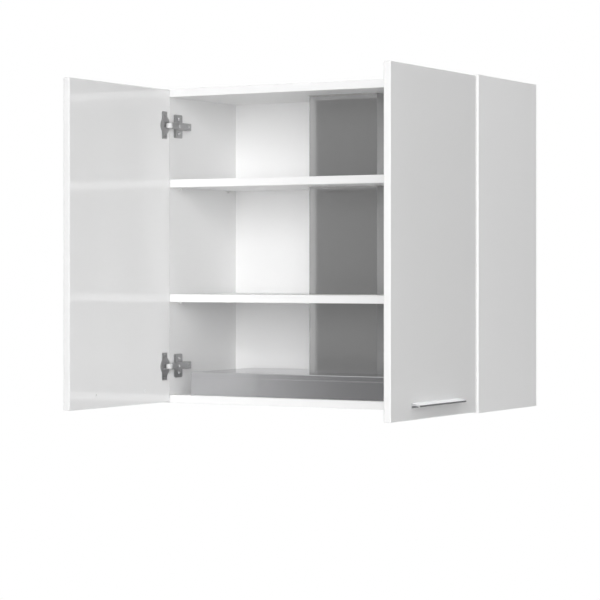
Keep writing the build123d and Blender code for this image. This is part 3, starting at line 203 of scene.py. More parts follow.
class Nodes:
    """A node tree with short calls for adding nodes and feeding their inputs."""

    def __init__(self, tree):
        self.tree = tree

    def feed(self, socket, value):
        """Links another node's output to a socket, or writes a plain value on it."""
        if isinstance(value, NodeSocket):
            self.tree.links.new(value, socket)
        else:
            socket.default_value = value

    def add(self, kind, inputs=None, **settings):
        """Adds a node with its settings and what feeds its inputs; returns its outputs."""
        node = self.tree.nodes.new("ShaderNode" + kind)
        for name, value in settings.items():
            setattr(node, name, value)
        for name, value in (inputs or {}).items():
            self.feed(node.inputs[name], value)
        return node.outputs

    def place(self):
        """A point's place on the object as it stands at rest, in metres."""
        return self.add("TexCoord")["Object"]

    def facing(self):
        """The way that the face itself looks, before any bump."""
        return self.add("NewGeometry")["True Normal"]

    def split(self, vector):
        return self.add("SeparateXYZ", {0: vector})

    def math(self, operation, *values, **settings):
        return self.add("Math", dict(enumerate(values)), operation=operation, **settings)[0]

    def vector(self, operation, *values):
        return self.add("VectorMath", dict(enumerate(values)), operation=operation)

    def mix(self, factor, first, second, kind="RGBA"):
        inputs = {"Factor": factor, "A": first, "B": second}
        return self.add("Mix", inputs, data_type=kind)["Result"]

    def ramp(self, value, start, end, low=0.0, high=1.0, **settings):
        """Goes from low to high while the value goes from start to end."""
        inputs = {"Value": value, "From Min": start, "From Max": end}
        inputs.update({"To Min": low, "To Max": high})
        return self.add("MapRange", inputs, **settings)["Result"]

    def noise(self, vector, scale, detail=2.0, roughness=0.5):
        inputs = {"Vector": vector, "Scale": scale, "Detail": detail, "Roughness": roughness}
        return self.add("TexNoise", inputs)["Fac"]

    def cells(self, vector, scale, randomness=1.0):
        inputs = {"Vector": vector, "Scale": scale, "Randomness": randomness}
        return self.add("TexVoronoi", inputs)

    def seen(self):
        """1 for a ray that the camera, gloss or glass sends out, and 0 for all others."""
        path = self.add("LightPath")
        direct = self.math("MAXIMUM", path["Is Camera Ray"], path["Is Glossy Ray"])
        return self.math("MAXIMUM", direct, path["Is Transmission Ray"])


SOCKET_KINDS = {
    "Colour": "Color",
    "Stretch": "Vector",
    "Board normal": "Vector",
    "Normal": "Vector",
}


class Effect(Nodes):
    """A node group that materials share, for what changes over a surface."""

    def __init__(self, name, inputs, *outputs):
        super().__init__(bpy.data.node_groups.new(name, "ShaderNodeTree"))
        for title, default in inputs.items():
            self.new_socket(title, "INPUT").default_value = default
        for title in outputs:
            self.new_socket(title, "OUTPUT")
        self.entry = self.tree.nodes.new("NodeGroupInput").outputs
        self.leave = self.tree.nodes.new("NodeGroupOutput").inputs

    def new_socket(self, title, way):
        kind = "NodeSocket" + SOCKET_KINDS.get(title, "Float")
        return self.tree.interface.new_socket(name=title, in_out=way, socket_type=kind)

    def put_out(self, **values):
        for title, value in values.items():
            self.feed(self.leave[title.capitalize()], value)

    def vary(self, pattern, middle, contrast):
        """Puts out the colour, and the roughness where there is one, varied by a pattern."""
        swing = self.math("SUBTRACT", pattern, middle)
        shade = self.math("MULTIPLY_ADD", swing, contrast, 1.0)
        inputs = {0: self.entry["Colour"], "Scale": shade}
        self.put_out(colour=self.add("VectorMath", inputs, operation="SCALE")["Vector"])
        if "Roughness" in self.entry:
            spread, level = self.entry["Roughness spread"], self.entry["Roughness"]
            rough = self.math("MULTIPLY_ADD", swing, spread, level, use_clamp=True)
            self.put_out(roughness=rough)


def fine_grain():
    """The pearl texture and faint cloudiness of a laminate or a moulding."""
    inputs = {
        "Colour": (0.8, 0.8, 0.8, 1.0),
        "Pearl size": 900.0,
        "Cloud size": 3.0,
        "Cloud": 0.02,
        "Roughness": 0.4,
        "Roughness spread": 0.05,
    }
    effect = Effect("Fine grain", inputs, "Colour", "Roughness", "Height")
    place = effect.place()
    cloud = effect.noise(place, effect.entry["Cloud size"], detail=3.0)
    effect.vary(cloud, 0.5, effect.entry["Cloud"])
    effect.put_out(height=effect.noise(place, effect.entry["Pearl size"]))
    return effect.tree


def brushed_lines():
    """Long fine scratches of brushed sheet, drawn out along one axis by the stretch."""
    inputs = {
        "Colour": (0.6, 0.6, 0.6, 1.0),
        "Stretch": (4.0, 900.0, 900.0),
        "Contrast": 0.08,
        "Roughness": 0.3,
        "Roughness spread": 0.1,
    }
    effect = Effect("Brushed lines", inputs, "Colour", "Roughness", "Height")
    place = effect.place()
    drawn = effect.vector("MULTIPLY", place, effect.entry["Stretch"])["Vector"]
    lines = effect.noise(drawn, 1.0, detail=4.0, roughness=0.65)
    cloud_share = 0.35
    both = effect.math("MULTIPLY_ADD", effect.noise(place, 5.0), cloud_share, lines)
    effect.vary(both, 0.5 * (1 + cloud_share), effect.entry["Contrast"])
    effect.put_out(height=lines)
    return effect.tree


def worn_and_sheened_edge():
    """A mask that is 1 near a hard edge, for plating worn through there and, on some metals, a
    painted highlight along the edge; and its soft normal.
    """
    effect = Effect("Worn and sheened edge", {"Reach": 0.6 * MM, "Break up": 260.0}, "Mask", "Normal")
    soft = effect.add("Bevel", {"Radius": effect.entry["Reach"]}, samples=6)["Normal"]
    face = effect.add("NewGeometry")["Normal"]
    # The mask lightens edges as wear, and on the canopy as a painted highlight.
    edge = effect.ramp(effect.vector("DOT_PRODUCT", soft, face)["Value"], 0.999, 0.93)
    patch = effect.noise(effect.place(), effect.entry["Break up"])
    effect.put_out(mask=effect.math("MULTIPLY", edge, patch, use_clamp=True), normal=soft)
    return effect.tree


def raw_core():
    """A mask of a board's cut faces that no edge band covers, and of the band's seam."""
    unbanded = 10.0
    inputs = {
        "Board normal": (0.0, 0.0, 1.0),
        "Banded front": -0.3,
        "Band": 1 * MM,
        "Middle": 0.0,
        "Banded ends": unbanded,
    }
    effect = Effect("Raw core", inputs, "Mask", "Seam")
    entry = effect.entry
    along = effect.vector("DOT_PRODUCT", effect.facing(), entry["Board normal"])["Value"]
    cut = effect.math("LESS_THAN", effect.math("ABSOLUTE", along), 0.5)
    split = effect.split(effect.place())
    behind = effect.math("GREATER_THAN", split["Y"], entry["Banded front"])
    rise = effect.math("ABSOLUTE", effect.math("SUBTRACT", split["Z"], entry["Middle"]))
    within = effect.math("LESS_THAN", rise, entry["Banded ends"])
    inner = effect.math("MULTIPLY", behind, within)
    from_seam = effect.math("SUBTRACT", split["Y"], entry["Banded front"])
    half_width = effect.math("MULTIPLY", entry["Band"], 0.15)
    effect.put_out(
        mask=effect.math("MULTIPLY", cut, inner),
        seam=effect.math("LESS_THAN", effect.math("ABSOLUTE", from_seam), half_width),
    )
    return effect.tree


def pressed_chips():
    """Wood chips or fibres pressed into a board: their colours and their relief."""
    inputs = {"Colour": (0.5, 0.36, 0.22, 1.0), "Chip size": 420.0, "Contrast": 0.7}
    effect = Effect("Pressed chips", inputs, "Colour", "Height")
    chips = effect.cells(effect.place(), effect.entry["Chip size"])
    parts = effect.add("SeparateColor", {0: chips["Color"]})
    effect.vary(parts[0], 0.5, effect.entry["Contrast"])
    effect.put_out(height=parts[1])
    return effect.tree


def zinc_spangle():
    """The frosty crystal patches of hot-dip galvanised sheet."""
    inputs = {
        "Colour": (0.5, 0.52, 0.54, 1.0),
        "Crystal size": 120.0,
        "Contrast": 0.35,
        "Roughness": 0.42,
        "Roughness spread": 0.2,
    }
    effect = Effect("Zinc spangle", inputs, "Colour", "Roughness", "Height")
    crystals = effect.cells(effect.place(), effect.entry["Crystal size"])
    parts = effect.add("SeparateColor", {0: crystals["Color"]})
    effect.vary(parts[0], 0.5, effect.entry["Contrast"])
    effect.put_out(height=crystals["Distance"])
    return effect.tree


EFFECTS = {
    "Fine grain": fine_grain,
    "Brushed lines": brushed_lines,
    "Worn and sheened edge": worn_and_sheened_edge,
    "Raw core": raw_core,
    "Pressed chips": pressed_chips,
    "Zinc spangle": zinc_spangle,
}


class Shader(Nodes):
    """A new material's node tree, round its Principled shader."""

    def __init__(self, name):
        self.material = bpy.data.materials.new(name)
        self.material.use_nodes = True
        super().__init__(self.material.node_tree)
        self.surface = self.tree.nodes["Principled BSDF"]
        self.output = self.tree.nodes["Material Output"].inputs["Surface"]

    def set(self, **values):
        """Feeds the Principled shader's own sockets."""
        for name, value in values.items():
            title = name.replace("_", " ").title().replace("Ior", "IOR")
            self.feed(self.surface.inputs[title], value)

    def group(self, name, **values):
        """Adds a shared effect, built the first time that a material asks for it."""
        tree = bpy.data.node_groups.get(name) or EFFECTS[name]()
        inputs = {title.replace("_", " ").capitalize(): value for title, value in values.items()}
        return self.add("Group", inputs, node_tree=tree)

    def relief(self, height, strength, depth=0.2 * MM, normal=None):
        """Raises the surface by a pattern's height, on the given normal if there is one."""
        inputs = {"Strength": strength, "Distance": depth, "Height": height}
        if normal is not None:
            inputs["Normal"] = normal
        self.set(normal=self.add("Bump", inputs)["Normal"])

    def glow(self, colour):
        """Makes a surface that gives out this colour and reflects nothing."""
        self.feed(self.output, self.add("Emission", {"Color": colour})[0])
        return self.material


def rgba(colour):
    return (*colour, 1.0)


def grained(name, colour, roughness, bump=0.05, pearl=900.0, cloud=0.02, spread=0.05, **surface):
    """A non-metal with a fine surface texture: laminate, plastic, lacquer or wood."""
    shader = Shader(name)
    grain = shader.group(
        "Fine grain",
        colour=rgba(colour),
        pearl_size=pearl,
        cloud=cloud,
        roughness=roughness,
        roughness_spread=spread,
    )
    shader.relief(grain["Height"], bump, normal=shader.group("Worn and sheened edge")["Normal"])
    shader.set(base_color=grain["Colour"], roughness=grain["Roughness"], **surface)
    return shader.material


def board(name, looks, normal, front, middle=0.0, ends=10.0):
    """White melamine with a banded front edge and raw chipboard where a tool has cut it."""
    shader = Shader(name)
    grain = shader.group(
        "Fine grain",
        colour=rgba(looks.carcass),
        cloud=0.015,
        roughness=looks.carcass_roughness,
    )
    core = shader.group(
        "Raw core",
        board_normal=normal,
        banded_front=front + looks.edge_band,
        band=looks.edge_band,
        middle=middle,
        banded_ends=ends,
    )
    chips = shader.group("Pressed chips", colour=rgba(looks.chips))
    glue = (0.6, 0.59, 0.57, 1.0)
    faced = shader.mix(core["Seam"], grain["Colour"], glue)
    height = shader.mix(core["Mask"], grain["Height"], chips["Height"], "FLOAT")
    shader.relief(height, 0.08, normal=shader.group("Worn and sheened edge")["Normal"])
    shader.set(
        base_color=shader.mix(core["Mask"], faced, chips["Colour"]),
        roughness=shader.mix(core["Mask"], grain["Roughness"], 0.9, "FLOAT"),
    )
    return shader.material


def spangled(name, colour, roughness, crystal):
    """Galvanised sheet, whose crystals catch the light one by one."""
    shader = Shader(name)
    zinc = shader.group(
        "Zinc spangle", colour=rgba(colour), roughness=roughness, crystal_size=crystal
    )
    shader.relief(zinc["Height"], 0.15)
    shader.set(base_color=zinc["Colour"], roughness=zinc["Roughness"], metallic=0.9)
    return shader.material


def drawn_metal(
    name,
    colour,
    roughness,
    stretch,
    contrast=0.08,
    bump=0.1,
    spread=0.1,
    wear=0.0,
    metallic=1.0,
    **surface,
):
    """An unpainted metal with drawn-out scratches, a little paler along its edges, for wear and for
    a painted edge highlight.
    """
    shader = Shader(name)
    lines = shader.group(
        "Brushed lines",
        colour=rgba(colour),
        stretch=stretch,
        contrast=contrast,
        roughness=roughness,
        roughness_spread=spread,
    )
    edge = shader.group("Worn and sheened edge")
    shader.relief(lines["Height"], bump, 0.1 * MM, normal=edge["Normal"])
    # Paler edge colour: worn plating on the fittings, and a painted highlight on the canopy's
    # edges.
    worn_and_sheened_tint = (0.9, 0.9, 0.9, 1.0)
    shader.set(
        base_color=shader.mix(shader.math("MULTIPLY", edge["Mask"], wear), lines["Colour"], worn_and_sheened_tint),
        roughness=lines["Roughness"],
        metallic=metallic,
        **surface,
    )
    return shader


def brushed(name, colour, roughness, stretch, contrast=0.08, **values):
    return drawn_metal(name, colour, roughness, stretch, contrast, **values).material


def finish_nodes(material, *names):
    """Gives the named CAD nodes this material in every slot."""
    for name in names:
        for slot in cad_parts[name].material_slots:
            slot.material = material


# Meshes


def mesh_from(shape, name, crease=HARD_EDGE):
    """Turns a bmesh into a mesh that is smooth but for its hard edges."""
    mesh = bpy.data.meshes.new(name)
    bmesh.ops.recalc_face_normals(shape, faces=shape.faces)
    shape.to_mesh(mesh)
    shape.free()
    mesh.shade_smooth()
    mesh.set_sharp_from_angle(angle=crease)
    return mesh


def new_object(name, data):
    made = bpy.data.objects.new(name, data)
    bpy.context.scene.collection.objects.link(made)
    return made


def place_piece(name, mesh, body, material, *nodes):
    """Puts a mesh in the scene, on its body and in the place of the CAD nodes it stands for."""
    piece = new_object(name, mesh)
    mesh.materials.clear()
    mesh.materials.append(material)
    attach(piece, body)
    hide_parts(*nodes)


def gathered(name, parts):
    """One mesh out of many, each a mesh and the matrix that places it."""
    shape = bmesh.new()
    for mesh, matrix in parts:
        placed = mesh.copy()
        placed.transform(matrix)
        shape.from_mesh(placed)
        bpy.data.meshes.remove(placed)
    whole = bpy.data.meshes.new(name)
    shape.to_mesh(whole)
    shape.free()
    return whole


def with_modifier(mesh, kind, **values):
    """The mesh that Blender's modifier makes of this one."""
    carrier = new_object("carrier", mesh)
    change = carrier.modifiers.new("change", kind)
    for name, value in values.items():
        setattr(change, name, value)
    graph = bpy.context.evaluated_depsgraph_get()
    made = bpy.data.meshes.new_from_object(carrier.evaluated_get(graph))
    bpy.data.objects.remove(carrier)
    return made


def around(radius, height, steps):
    """Points at even turns round the z axis."""
    turns = [2 * math.pi * step / steps for step in range(steps)]
    return [(radius * math.cos(turn), radius * math.sin(turn), height) for turn in turns]


def lathe(profile, steps):
    """Turns a line of (radius, height) points round the z axis."""
    shape = bmesh.new()
    rings = []
    for radius, height in profile:
        ring = around(radius, height, steps) if radius else [(0.0, 0.0, height)]
        rings.append([shape.verts.new(corner) for corner in ring])
    for near, far in zip(rings, rings[1:]):
        for step in range(steps):
            after = (step + 1) % steps
            corners = [near[step % len(near)], near[after % len(near)]]
            corners += [far[after % len(far)], far[step % len(far)]]
            shape.faces.new(dict.fromkeys(corners))
    return shape


def loose_parts(name):
    """The corners of each separate solid in a CAD node."""
    shape = bmesh.new()
    shape.from_mesh(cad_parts[name].data)
    bmesh.ops.remove_doubles(shape, verts=shape.verts, dist=0.001 * MM)
    parts, seen = [], set()
    for first in shape.verts:
        if first in seen:
            continue
        seen.add(first)
        waiting, part = [first], []
        while waiting:
            corner = waiting.pop()
            part.append(corner.co.copy())
            for edge in corner.link_edges:
                other = edge.other_vert(corner)
                if other not in seen:
                    seen.add(other)
                    waiting.append(other)
        parts.append(part)
    shape.free()
    return parts


def extent(points):
    """The lowest and highest corners of the box round these points."""
    ways = range(3)
    low = Vector([min(point[way] for point in points) for way in ways])
    return low, Vector([max(point[way] for point in points) for way in ways])


def screw_measures(points):
    """Reads a CAD screw: a matrix at its head's seat, and the sizes of its head and shank."""
    low, high = extent(points)
    span, middle = high - low, (high + low) / 2
    axis = min(range(3), key=lambda way: abs(span[way - 1] - span[way - 2]))

    def off_axis(point):
        aside = point - middle
        aside[axis] = 0.0
        return aside.length

    head = max(off_axis(point) for point in points)
    rim = [point[axis] for point in points if off_axis(point) > 0.98 * head]
    seat = sum(rim) / len(rim)
    outward = 1.0 if high[axis] - seat < seat - low[axis] else -1.0
    ends = sorted({round(outward * (point[axis] - seat), 5) for point in points})
    rise = max(ends[-1], 0.0)
    sink = -ends[-2] if rise == 0.0 else 0.0
    shank = min(off_axis(point) for point in points if outward * (point[axis] - seat) < -sink)
    origin = middle.copy()
    origin[axis] = seat
    way = Vector((0.0, 0.0, 0.0))
    way[axis] = outward
    turn = way.to_track_quat("Z", "Y").to_matrix().to_4x4()
    return Matrix.Translation(origin) @ turn, head, rise, sink, shank, -ends[0]


def cross_cutter(half, depth, top):
    """A tapered cross that cuts a driver's recess into a screw's head."""
    shape = bmesh.new()
    layers = []
    for reach, width, height in ((half, 0.24 * half, top), (0.45 * half, 0.16 * half, top - depth)):
        outline = []
        for turn in range(4):
            spin = Matrix.Rotation(turn * math.pi / 2, 3, "Z")
            for corner in ((width, width), (width, reach), (-width, reach)):
                outline.append(spin @ Vector((*corner, height)))
        layers.append([shape.verts.new(corner) for corner in outline])
    above, below = layers
    shape.faces.new(above)
    shape.faces.new(reversed(below))
    for step in range(len(above)):
        after = (step + 1) % len(above)
        shape.faces.new((above[step], below[step], below[after], above[after]))
    return mesh_from(shape, "cutter")


# A raised screw head from its rim to its top, as shares of its radius and its rise
CROWN = ((1.0, 0.0), (1.0, 0.3), (0.95, 0.55), (0.82, 0.8), (0.55, 0.95), (0.0, 1.0))
THREAD_ROOT = 0.78


def screw_mesh(head, rise, sink, shank, reach, recess):
    """A screw with its head's crown, its cross recess and its thread."""
    root = THREAD_ROOT * shank
    profile = [(0.0, -reach), (0.55 * shank, -reach)]
    pitch, height = 0.45 * shank, 0.6 * shank - reach
    while height < -sink - 1.5 * pitch:
        profile += [(root, height), (shank, height + 0.4 * pitch)]
        height += pitch
    profile += [(root, height), (shank, height + 0.4 * pitch), (shank, -sink)]
    if rise:
        profile += [(head * across, rise * up) for across, up in CROWN]
    else:
        profile += [(head, -0.1 * sink), (head, 0.0), (0.0, 0.0)]
    body = mesh_from(lathe(profile, 24), "screw")
    depth, spare = 0.45 * head, 0.1 * head
    cutter = new_object("cutter", cross_cutter(recess * head, depth + rise, rise + spare))
    cut = with_modifier(body, "BOOLEAN", operation="DIFFERENCE", solver="EXACT", object=cutter)
    bpy.data.objects.remove(cutter)
    cut.shade_smooth()
    cut.set_sharp_from_angle(angle=HARD_EDGE)
    return cut


def cross_screws(name, node, body, material, recess):
    """Replaces plain screws by ones with a recess and a thread, each turned its own way."""
    patterns, parts = {}, []
    for index, points in enumerate(loose_parts(node)):
        matrix, *sizes = screw_measures(points)
        key = tuple(round(size, 4) for size in sizes)
        if key not in patterns:
            patterns[key] = screw_mesh(*sizes, recess)
        turned = matrix @ Matrix.Rotation(0.4 + 1.1 * index, 4, "Z")
        parts.append((patterns[key], turned))
    place_piece(name, gathered(name, parts), body, material, node)


def expanded_layer(width, depth, cell, strand, height):
    """One sheet of slit and stretched aluminium: diamonds whose corners rise and fall."""
    across, along = (max(2, round(2 * size / way)) for size, way in zip((width, depth), cell))
    shape = bmesh.new()
    corners = {}
    for i in range(across + 1):
        for j in range(along + 1):
            if (i + j) % 2 == 0:
                lift = 0.25 * strand * (1 if i % 2 else -1)
                place = (width * (i / across - 0.5), depth * (j / along - 0.5), height + lift)
                corners[i, j] = shape.verts.new(place)
    for i in range(across + 1):
        for j in range(along + 1):
            if (i + j) % 2:
                round_it = [(i + 1, j), (i, j + 1), (i - 1, j), (i, j - 1)]
                face = [corners[spot] for spot in round_it if spot in corners]
                if len(face) > 2:
                    shape.faces.new(face)
    flat = bpy.data.meshes.new("diamonds")
    shape.to_mesh(flat)
    shape.free()
    return with_modifier(
        flat, "WIREFRAME", thickness=strand, use_replace=True, use_even_offset=True, offset=0.0
    )


# One operator for each group of pieces


class CABINET_OT_boards(Operator):
    """Finish the panels, the shelves and the back"""

    bl_idname = "cabinet.boards"
    bl_label = "Boards"

    def execute(self, context):
        looks = context.scene.cabinet_laminate
        low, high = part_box("side_panel_left")
        middle, reach = (low.z + high.z) / 2, (high.z - low.z) / 2 - looks.edge_band
        upright = board("Side melamine", looks, (1.0, 0.0, 0.0), low.y, middle, reach)
        finish_nodes(upright, "side_panel_left", "side_panel_right")
        level = board("Shelf melamine", looks, (0.0, 0.0, 1.0), low.y)
        finish_nodes(level, "top_panel", "bottom_panel", "shelf_lower", "shelf_upper")
        finish_nodes(backing_material(looks), "back_panel")
        return {"FINISHED"}


def backing_material(looks):
    """Hardboard, lacquered white on the face that shows inside the cabinet."""
    shader = Shader("Lacquered hardboard")
    grain = shader.group("Fine grain", colour=rgba(looks.back), pearl_size=700.0, roughness=0.5)
    fibres = shader.group(
        "Pressed chips", colour=rgba(looks.hardboard), chip_size=1500.0, contrast=0.4
    )
    forward = shader.vector("DOT_PRODUCT", shader.facing(), (0.0, -1.0, 0.0))["Value"]
    raw = shader.math("LESS_THAN", forward, 0.5)
    shader.relief(fibres["Height"], 0.06)
    shader.set(
        base_color=shader.mix(raw, grain["Colour"], fibres["Colour"]),
        roughness=grain["Roughness"],
    )
    return shader.material


class CABINET_OT_doors(Operator):
    """Finish the doors in high gloss"""

    bl_idname = "cabinet.doors"
    bl_label = "Doors"

    def execute(self, context):
        looks = context.scene.cabinet_laminate
        gloss = grained(
            "Door gloss",
            looks.door,
            looks.door_roughness,
            bump=0.006,
            pearl=60.0,
            cloud=0.01,
            spread=0.01,
            ior=1.65,
        )
        finish_nodes(gloss, "door_left", "door_right")
        return {"FINISHED"}


def nickel_material(looks, neck_end, cup_face):
    """Nickel-plated sheet; the arms' necks up to the cups are white and less metallic as a painted
    highlight, and the edges paler for wear and a painted highlight.
    """
    shader = Shader("Nickel plate")
    lines = shader.group("Brushed lines", colour=rgba(looks.hinge), stretch=(300.0, 300.0, 60.0))
    split = shader.split(shader.place())
    forward = shader.ramp(split["Y"], neck_end, neck_end - 2 * MM)
    inside = shader.math("LESS_THAN", shader.math("ABSOLUTE", split["X"]), cup_face)
    painted_neck_highlight = shader.math("MULTIPLY", forward, inside)
    edge = shader.group("Worn and sheened edge")
    pale = shader.math("MAXIMUM", edge["Mask"], painted_neck_highlight)
    shader.relief(lines["Height"], 0.08, 0.1 * MM, normal=edge["Normal"])
    shader.set(
        # Painted highlight: the necks turn white and nearly diffuse, and the edges paler (wear and
        # painted highlight).
        base_color=shader.mix(pale, lines["Colour"], (0.93, 0.93, 0.93, 1.0)),
        roughness=shader.mix(pale, lines["Roughness"], 0.16, "FLOAT"),
        metallic=shader.ramp(painted_neck_highlight, 0.0, 1.0, 1.0, 0.25),
    )
    return shader.material


def cup_material(looks, cup_face):
    """Nickel-plated cups, pale and less metallic down inside the door: painted light in place of
    the shade in the cup's hollow.
    """
    shader = drawn_metal("Cup plate", looks.hinge, 0.34, (260.0, 260.0, 60.0), 0.05)
    aside = shader.math("ABSOLUTE", shader.split(shader.place())["X"])
    depth = shader.ramp(aside, cup_face + 0.5 * MM, cup_face + 2 * MM)
    plated = shader.surface.inputs["Base Color"].links[0].from_socket
    # Painted light: the cup's hollow is made pale and nearly diffuse, so it shows no shade.
    shader.set(
        base_color=shader.mix(depth, plated, (0.8, 0.8, 0.8, 1.0)),
        metallic=shader.ramp(depth, 0.0, 1.0, 0.95, 0.3),
    )
    return shader.material


class CABINET_OT_fittings(Operator):
    """Finish the hinges, cams, pins and hanging plates"""

    bl_idname = "cabinet.fittings"
    bl_label = "Fittings"

    def execute(self, context):
        looks = context.scene.cabinet_steel
        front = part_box("side_panel_left")[0].y
        cup_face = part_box("door_right")[0].x
        nickel = nickel_material(looks, front, cup_face + 3 * MM)
        finish_nodes(nickel, "hinge_arms_left", "hinge_arms_right")
        finish_nodes(nickel, "mounting_plates_left", "mounting_plates_right")
        finish_nodes(cup_material(looks, cup_face), "hinge_cups_left", "hinge_cups_right")
        zinc = brushed("Rod zinc", looks.screw, 0.3, (700.0, 700.0, 700.0), wear=0.3)
        finish_nodes(zinc, "hinge_pins_left", "hinge_pins_right")
        finish_nodes(zinc, "cam_bolts", "damper_axles", "motor_shaft")
        cast = brushed("Cast zinc", (0.5, 0.5, 0.51), 0.45, (400.0, 400.0, 400.0), wear=0.3)
        finish_nodes(cast, "cam_locks", "hanging_plate_left", "hanging_plate_right")
        pins = grained("Pin moulding", (0.9, 0.9, 0.89), 0.35, bump=0.1, pearl=600.0)
        finish_nodes(pins, "shelf_pins")
        beech = grained("Beech", (0.55, 0.36, 0.2), 0.6, bump=0.3, pearl=300.0, cloud=0.3)
        finish_nodes(beech, "dowels")
        return {"FINISHED"}


class CABINET_OT_screws(Operator):
    """Make every screw with its cross recess and thread"""

    bl_idname = "cabinet.screws"
    bl_label = "Screws"

    def execute(self, context):
        looks = context.scene.cabinet_steel
        turned, drawn = (500.0, 500.0, 500.0), (700.0, 700.0, 700.0)
        # Painted highlight: metallic 0.6 lets a diffuse white show on the plate and arm screws'
        # heads.
        bright = brushed("Bright screw", looks.screw, 0.2, turned, wear=0.4, metallic=0.6)
        plated = brushed("Cup screw", looks.hinge, 0.34, turned, wear=0.1)
        zinc = brushed("Screw zinc", looks.screw, 0.3, drawn, wear=0.3)
        white = grained("Screw lacquer", (0.86, 0.86, 0.86), 0.3, bump=0.1, pearl=600.0)
        for name, node, body, material in (
            ("cup_screw_set_left", "cup_screws_left", "door_left", plated),
            ("cup_screw_set_right", "cup_screws_right", "door_right", plated),
            ("plate_screw_set", "plate_screws", "cabinet", bright),
            ("arm_screw_set", "arm_screws", "cabinet", bright),
            ("handle_screw_set_left", "handle_screws_left", "door_left", white),
            ("handle_screw_set_right", "handle_screws_right", "door_right", white),
            ("casing_screw_set", "casing_screws", "cabinet", zinc),
            ("hanging_screw_set", "hanging_screws", "cabinet", zinc),
        ):
            cross_screws(name, node, body, material, context.scene.cabinet_sizes.recess)
        return {"FINISHED"}


class CABINET_OT_handles(Operator):
    """Finish the door handles"""

    bl_idname = "cabinet.handles"
    bl_label = "Handles"

    def execute(self, context):
        looks = context.scene.cabinet_steel
        finish_nodes(anodised_material(looks), "handle_left", "handle_right")
        return {"FINISHED"}


def anodised_material(looks):
    """Anodised aluminium, brushed; its upward faces are made nearly diffuse so they show white:
    painted light from above on the handle's top.
    """
    grip = (900.0, 6.0, 900.0)
    shader = drawn_metal("Anodised aluminium", looks.handle, 0.22, grip, wear=0.2)
    upward = shader.split(shader.facing())["Z"]
    # Painted light: upward faces lose most of their metal look so the light from above shows on
    # them as white.
    shader.set(metallic=shader.ramp(upward, 0.6, 0.9, 1.0, 0.15))
    return shader.material


class CABINET_OT_hood(Operator):
    """Finish the canopy and the chimney duct"""

    bl_idname = "cabinet.hood"
    bl_label = "Hood"

    def execute(self, context):
        looks = context.scene.cabinet_steel
        # On the canopy the paler edge colour is a painted highlight along its top edge.
        canopy = brushed(
            "Canopy steel",
            looks.hood,
            0.21,
            (5.0, 1500.0, 1500.0),
            contrast=0.015,
            bump=0.01,
            spread=0.03,
            wear=0.5,
        )
        finish_nodes(canopy, "hood_body", "hood_fascia", "hood_cover", "lamp_rings")
        chimney = brushed(
            "Chimney steel",
            looks.duct,
            0.36,
            (1100.0, 1100.0, 5.0),
            contrast=0.04,
            bump=0.02,
            spread=0.04,
            metallic=0.65,
            coat_weight=1.0,
            coat_roughness=0.03,
            coat_ior=3.6,
        )
        finish_nodes(chimney, "chimney_duct")
        return {"FINISHED"}


class CABINET_OT_blower(Operator):
    """Finish the blower, the flue and its flaps"""

    bl_idname = "cabinet.blower"
    bl_label = "Blower and flue"

    def execute(self, context):
        looks = context.scene.cabinet_steel
        spangle = spangled("Galvanised sheet", looks.galvanised, 0.42, 130.0)
        finish_nodes(spangle, "blower_scroll", "blower_lid", "flue_pipe", "outlet_collar")
        shell = grained("Motor lacquer", (0.12, 0.125, 0.13), 0.45, bump=0.2, pearl=500.0)
        finish_nodes(shell, "motor")
        moulded = grained("Wheel moulding", (0.05, 0.05, 0.055), 0.5, bump=0.15, pearl=700.0)
        finish_nodes(moulded, "impeller", "damper_flap_front", "damper_flap_rear")
        return {"FINISHED"}


class CABINET_OT_filters(Operator):
    """Make the filters' expanded sheets and finish their frames"""

    bl_idname = "cabinet.filters"
    bl_label = "Grease filters"

    def execute(self, context):
        looks, sizes = context.scene.cabinet_steel, context.scene.cabinet_sizes
        rails = brushed("Filter frame", looks.filter, 0.32, (5.0, 1000.0, 1000.0))
        finish_nodes(rails, "filter_frame_left", "filter_frame_right")
        knit = brushed("Filter sheet", looks.filter, 0.3, (400.0, 400.0, 400.0), 0.3, wear=0.3)
        strand = sizes.mesh_strand
        cell = (sizes.mesh_cell, 0.57 * sizes.mesh_cell)
        for side in ("left", "right"):
            node = "filter_mesh_" + side
            low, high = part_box(node)
            size, middle = high - low, (high + low) / 2
            width, depth, apart = size.x - strand, size.y - strand, 0.26 * size.z
            layers = [
                expanded_layer(width, depth, cell, strand, -apart),
                expanded_layer(width, depth, cell[::-1], strand, apart),
            ]
            place = Matrix.Translation(middle)
            mesh = gathered(node + "_strands", [(layer, place) for layer in layers])
            place_piece("filter_strands_" + side, mesh, "filter_" + side, knit, node)
        return {"FINISHED"}


class CABINET_OT_lamps(Operator):
    """Make the ribbed lamp lenses"""

    bl_idname = "cabinet.lamps"
    bl_label = "Lamp lenses"

    def execute(self, context):
        rib = context.scene.cabinet_sizes.lens_rib
        valley, crest = 0.2 * MM, 0.5 * MM
        frosted = grained("Frosted lens", (0.9, 0.92, 0.93), 0.3, bump=0.2, pearl=350.0)
        parts = []
        for points in loose_parts("lamp_lenses"):
            low, high = extent(points)
            radius, top = (high.x - low.x) / 2, high.z - low.z
            profile, reach = [(0.0, valley), (0.5 * rib, valley)], rib
            while reach < radius - rib:
                profile += [(reach, crest), (reach + 0.5 * rib, valley)]
                reach += rib
            profile += [(radius - 0.6 * rib, 0.0), (radius, 0.0), (radius, top), (0.0, top)]
            place = Matrix.Translation(((low.x + high.x) / 2, (low.y + high.y) / 2, low.z))
            parts.append((mesh_from(lathe(profile, 48), "lens", math.radians(15)), place))
        place_piece("lamp_lens_set", gathered("lenses", parts), "cabinet", frosted, "lamp_lenses")
        return {"FINISHED"}


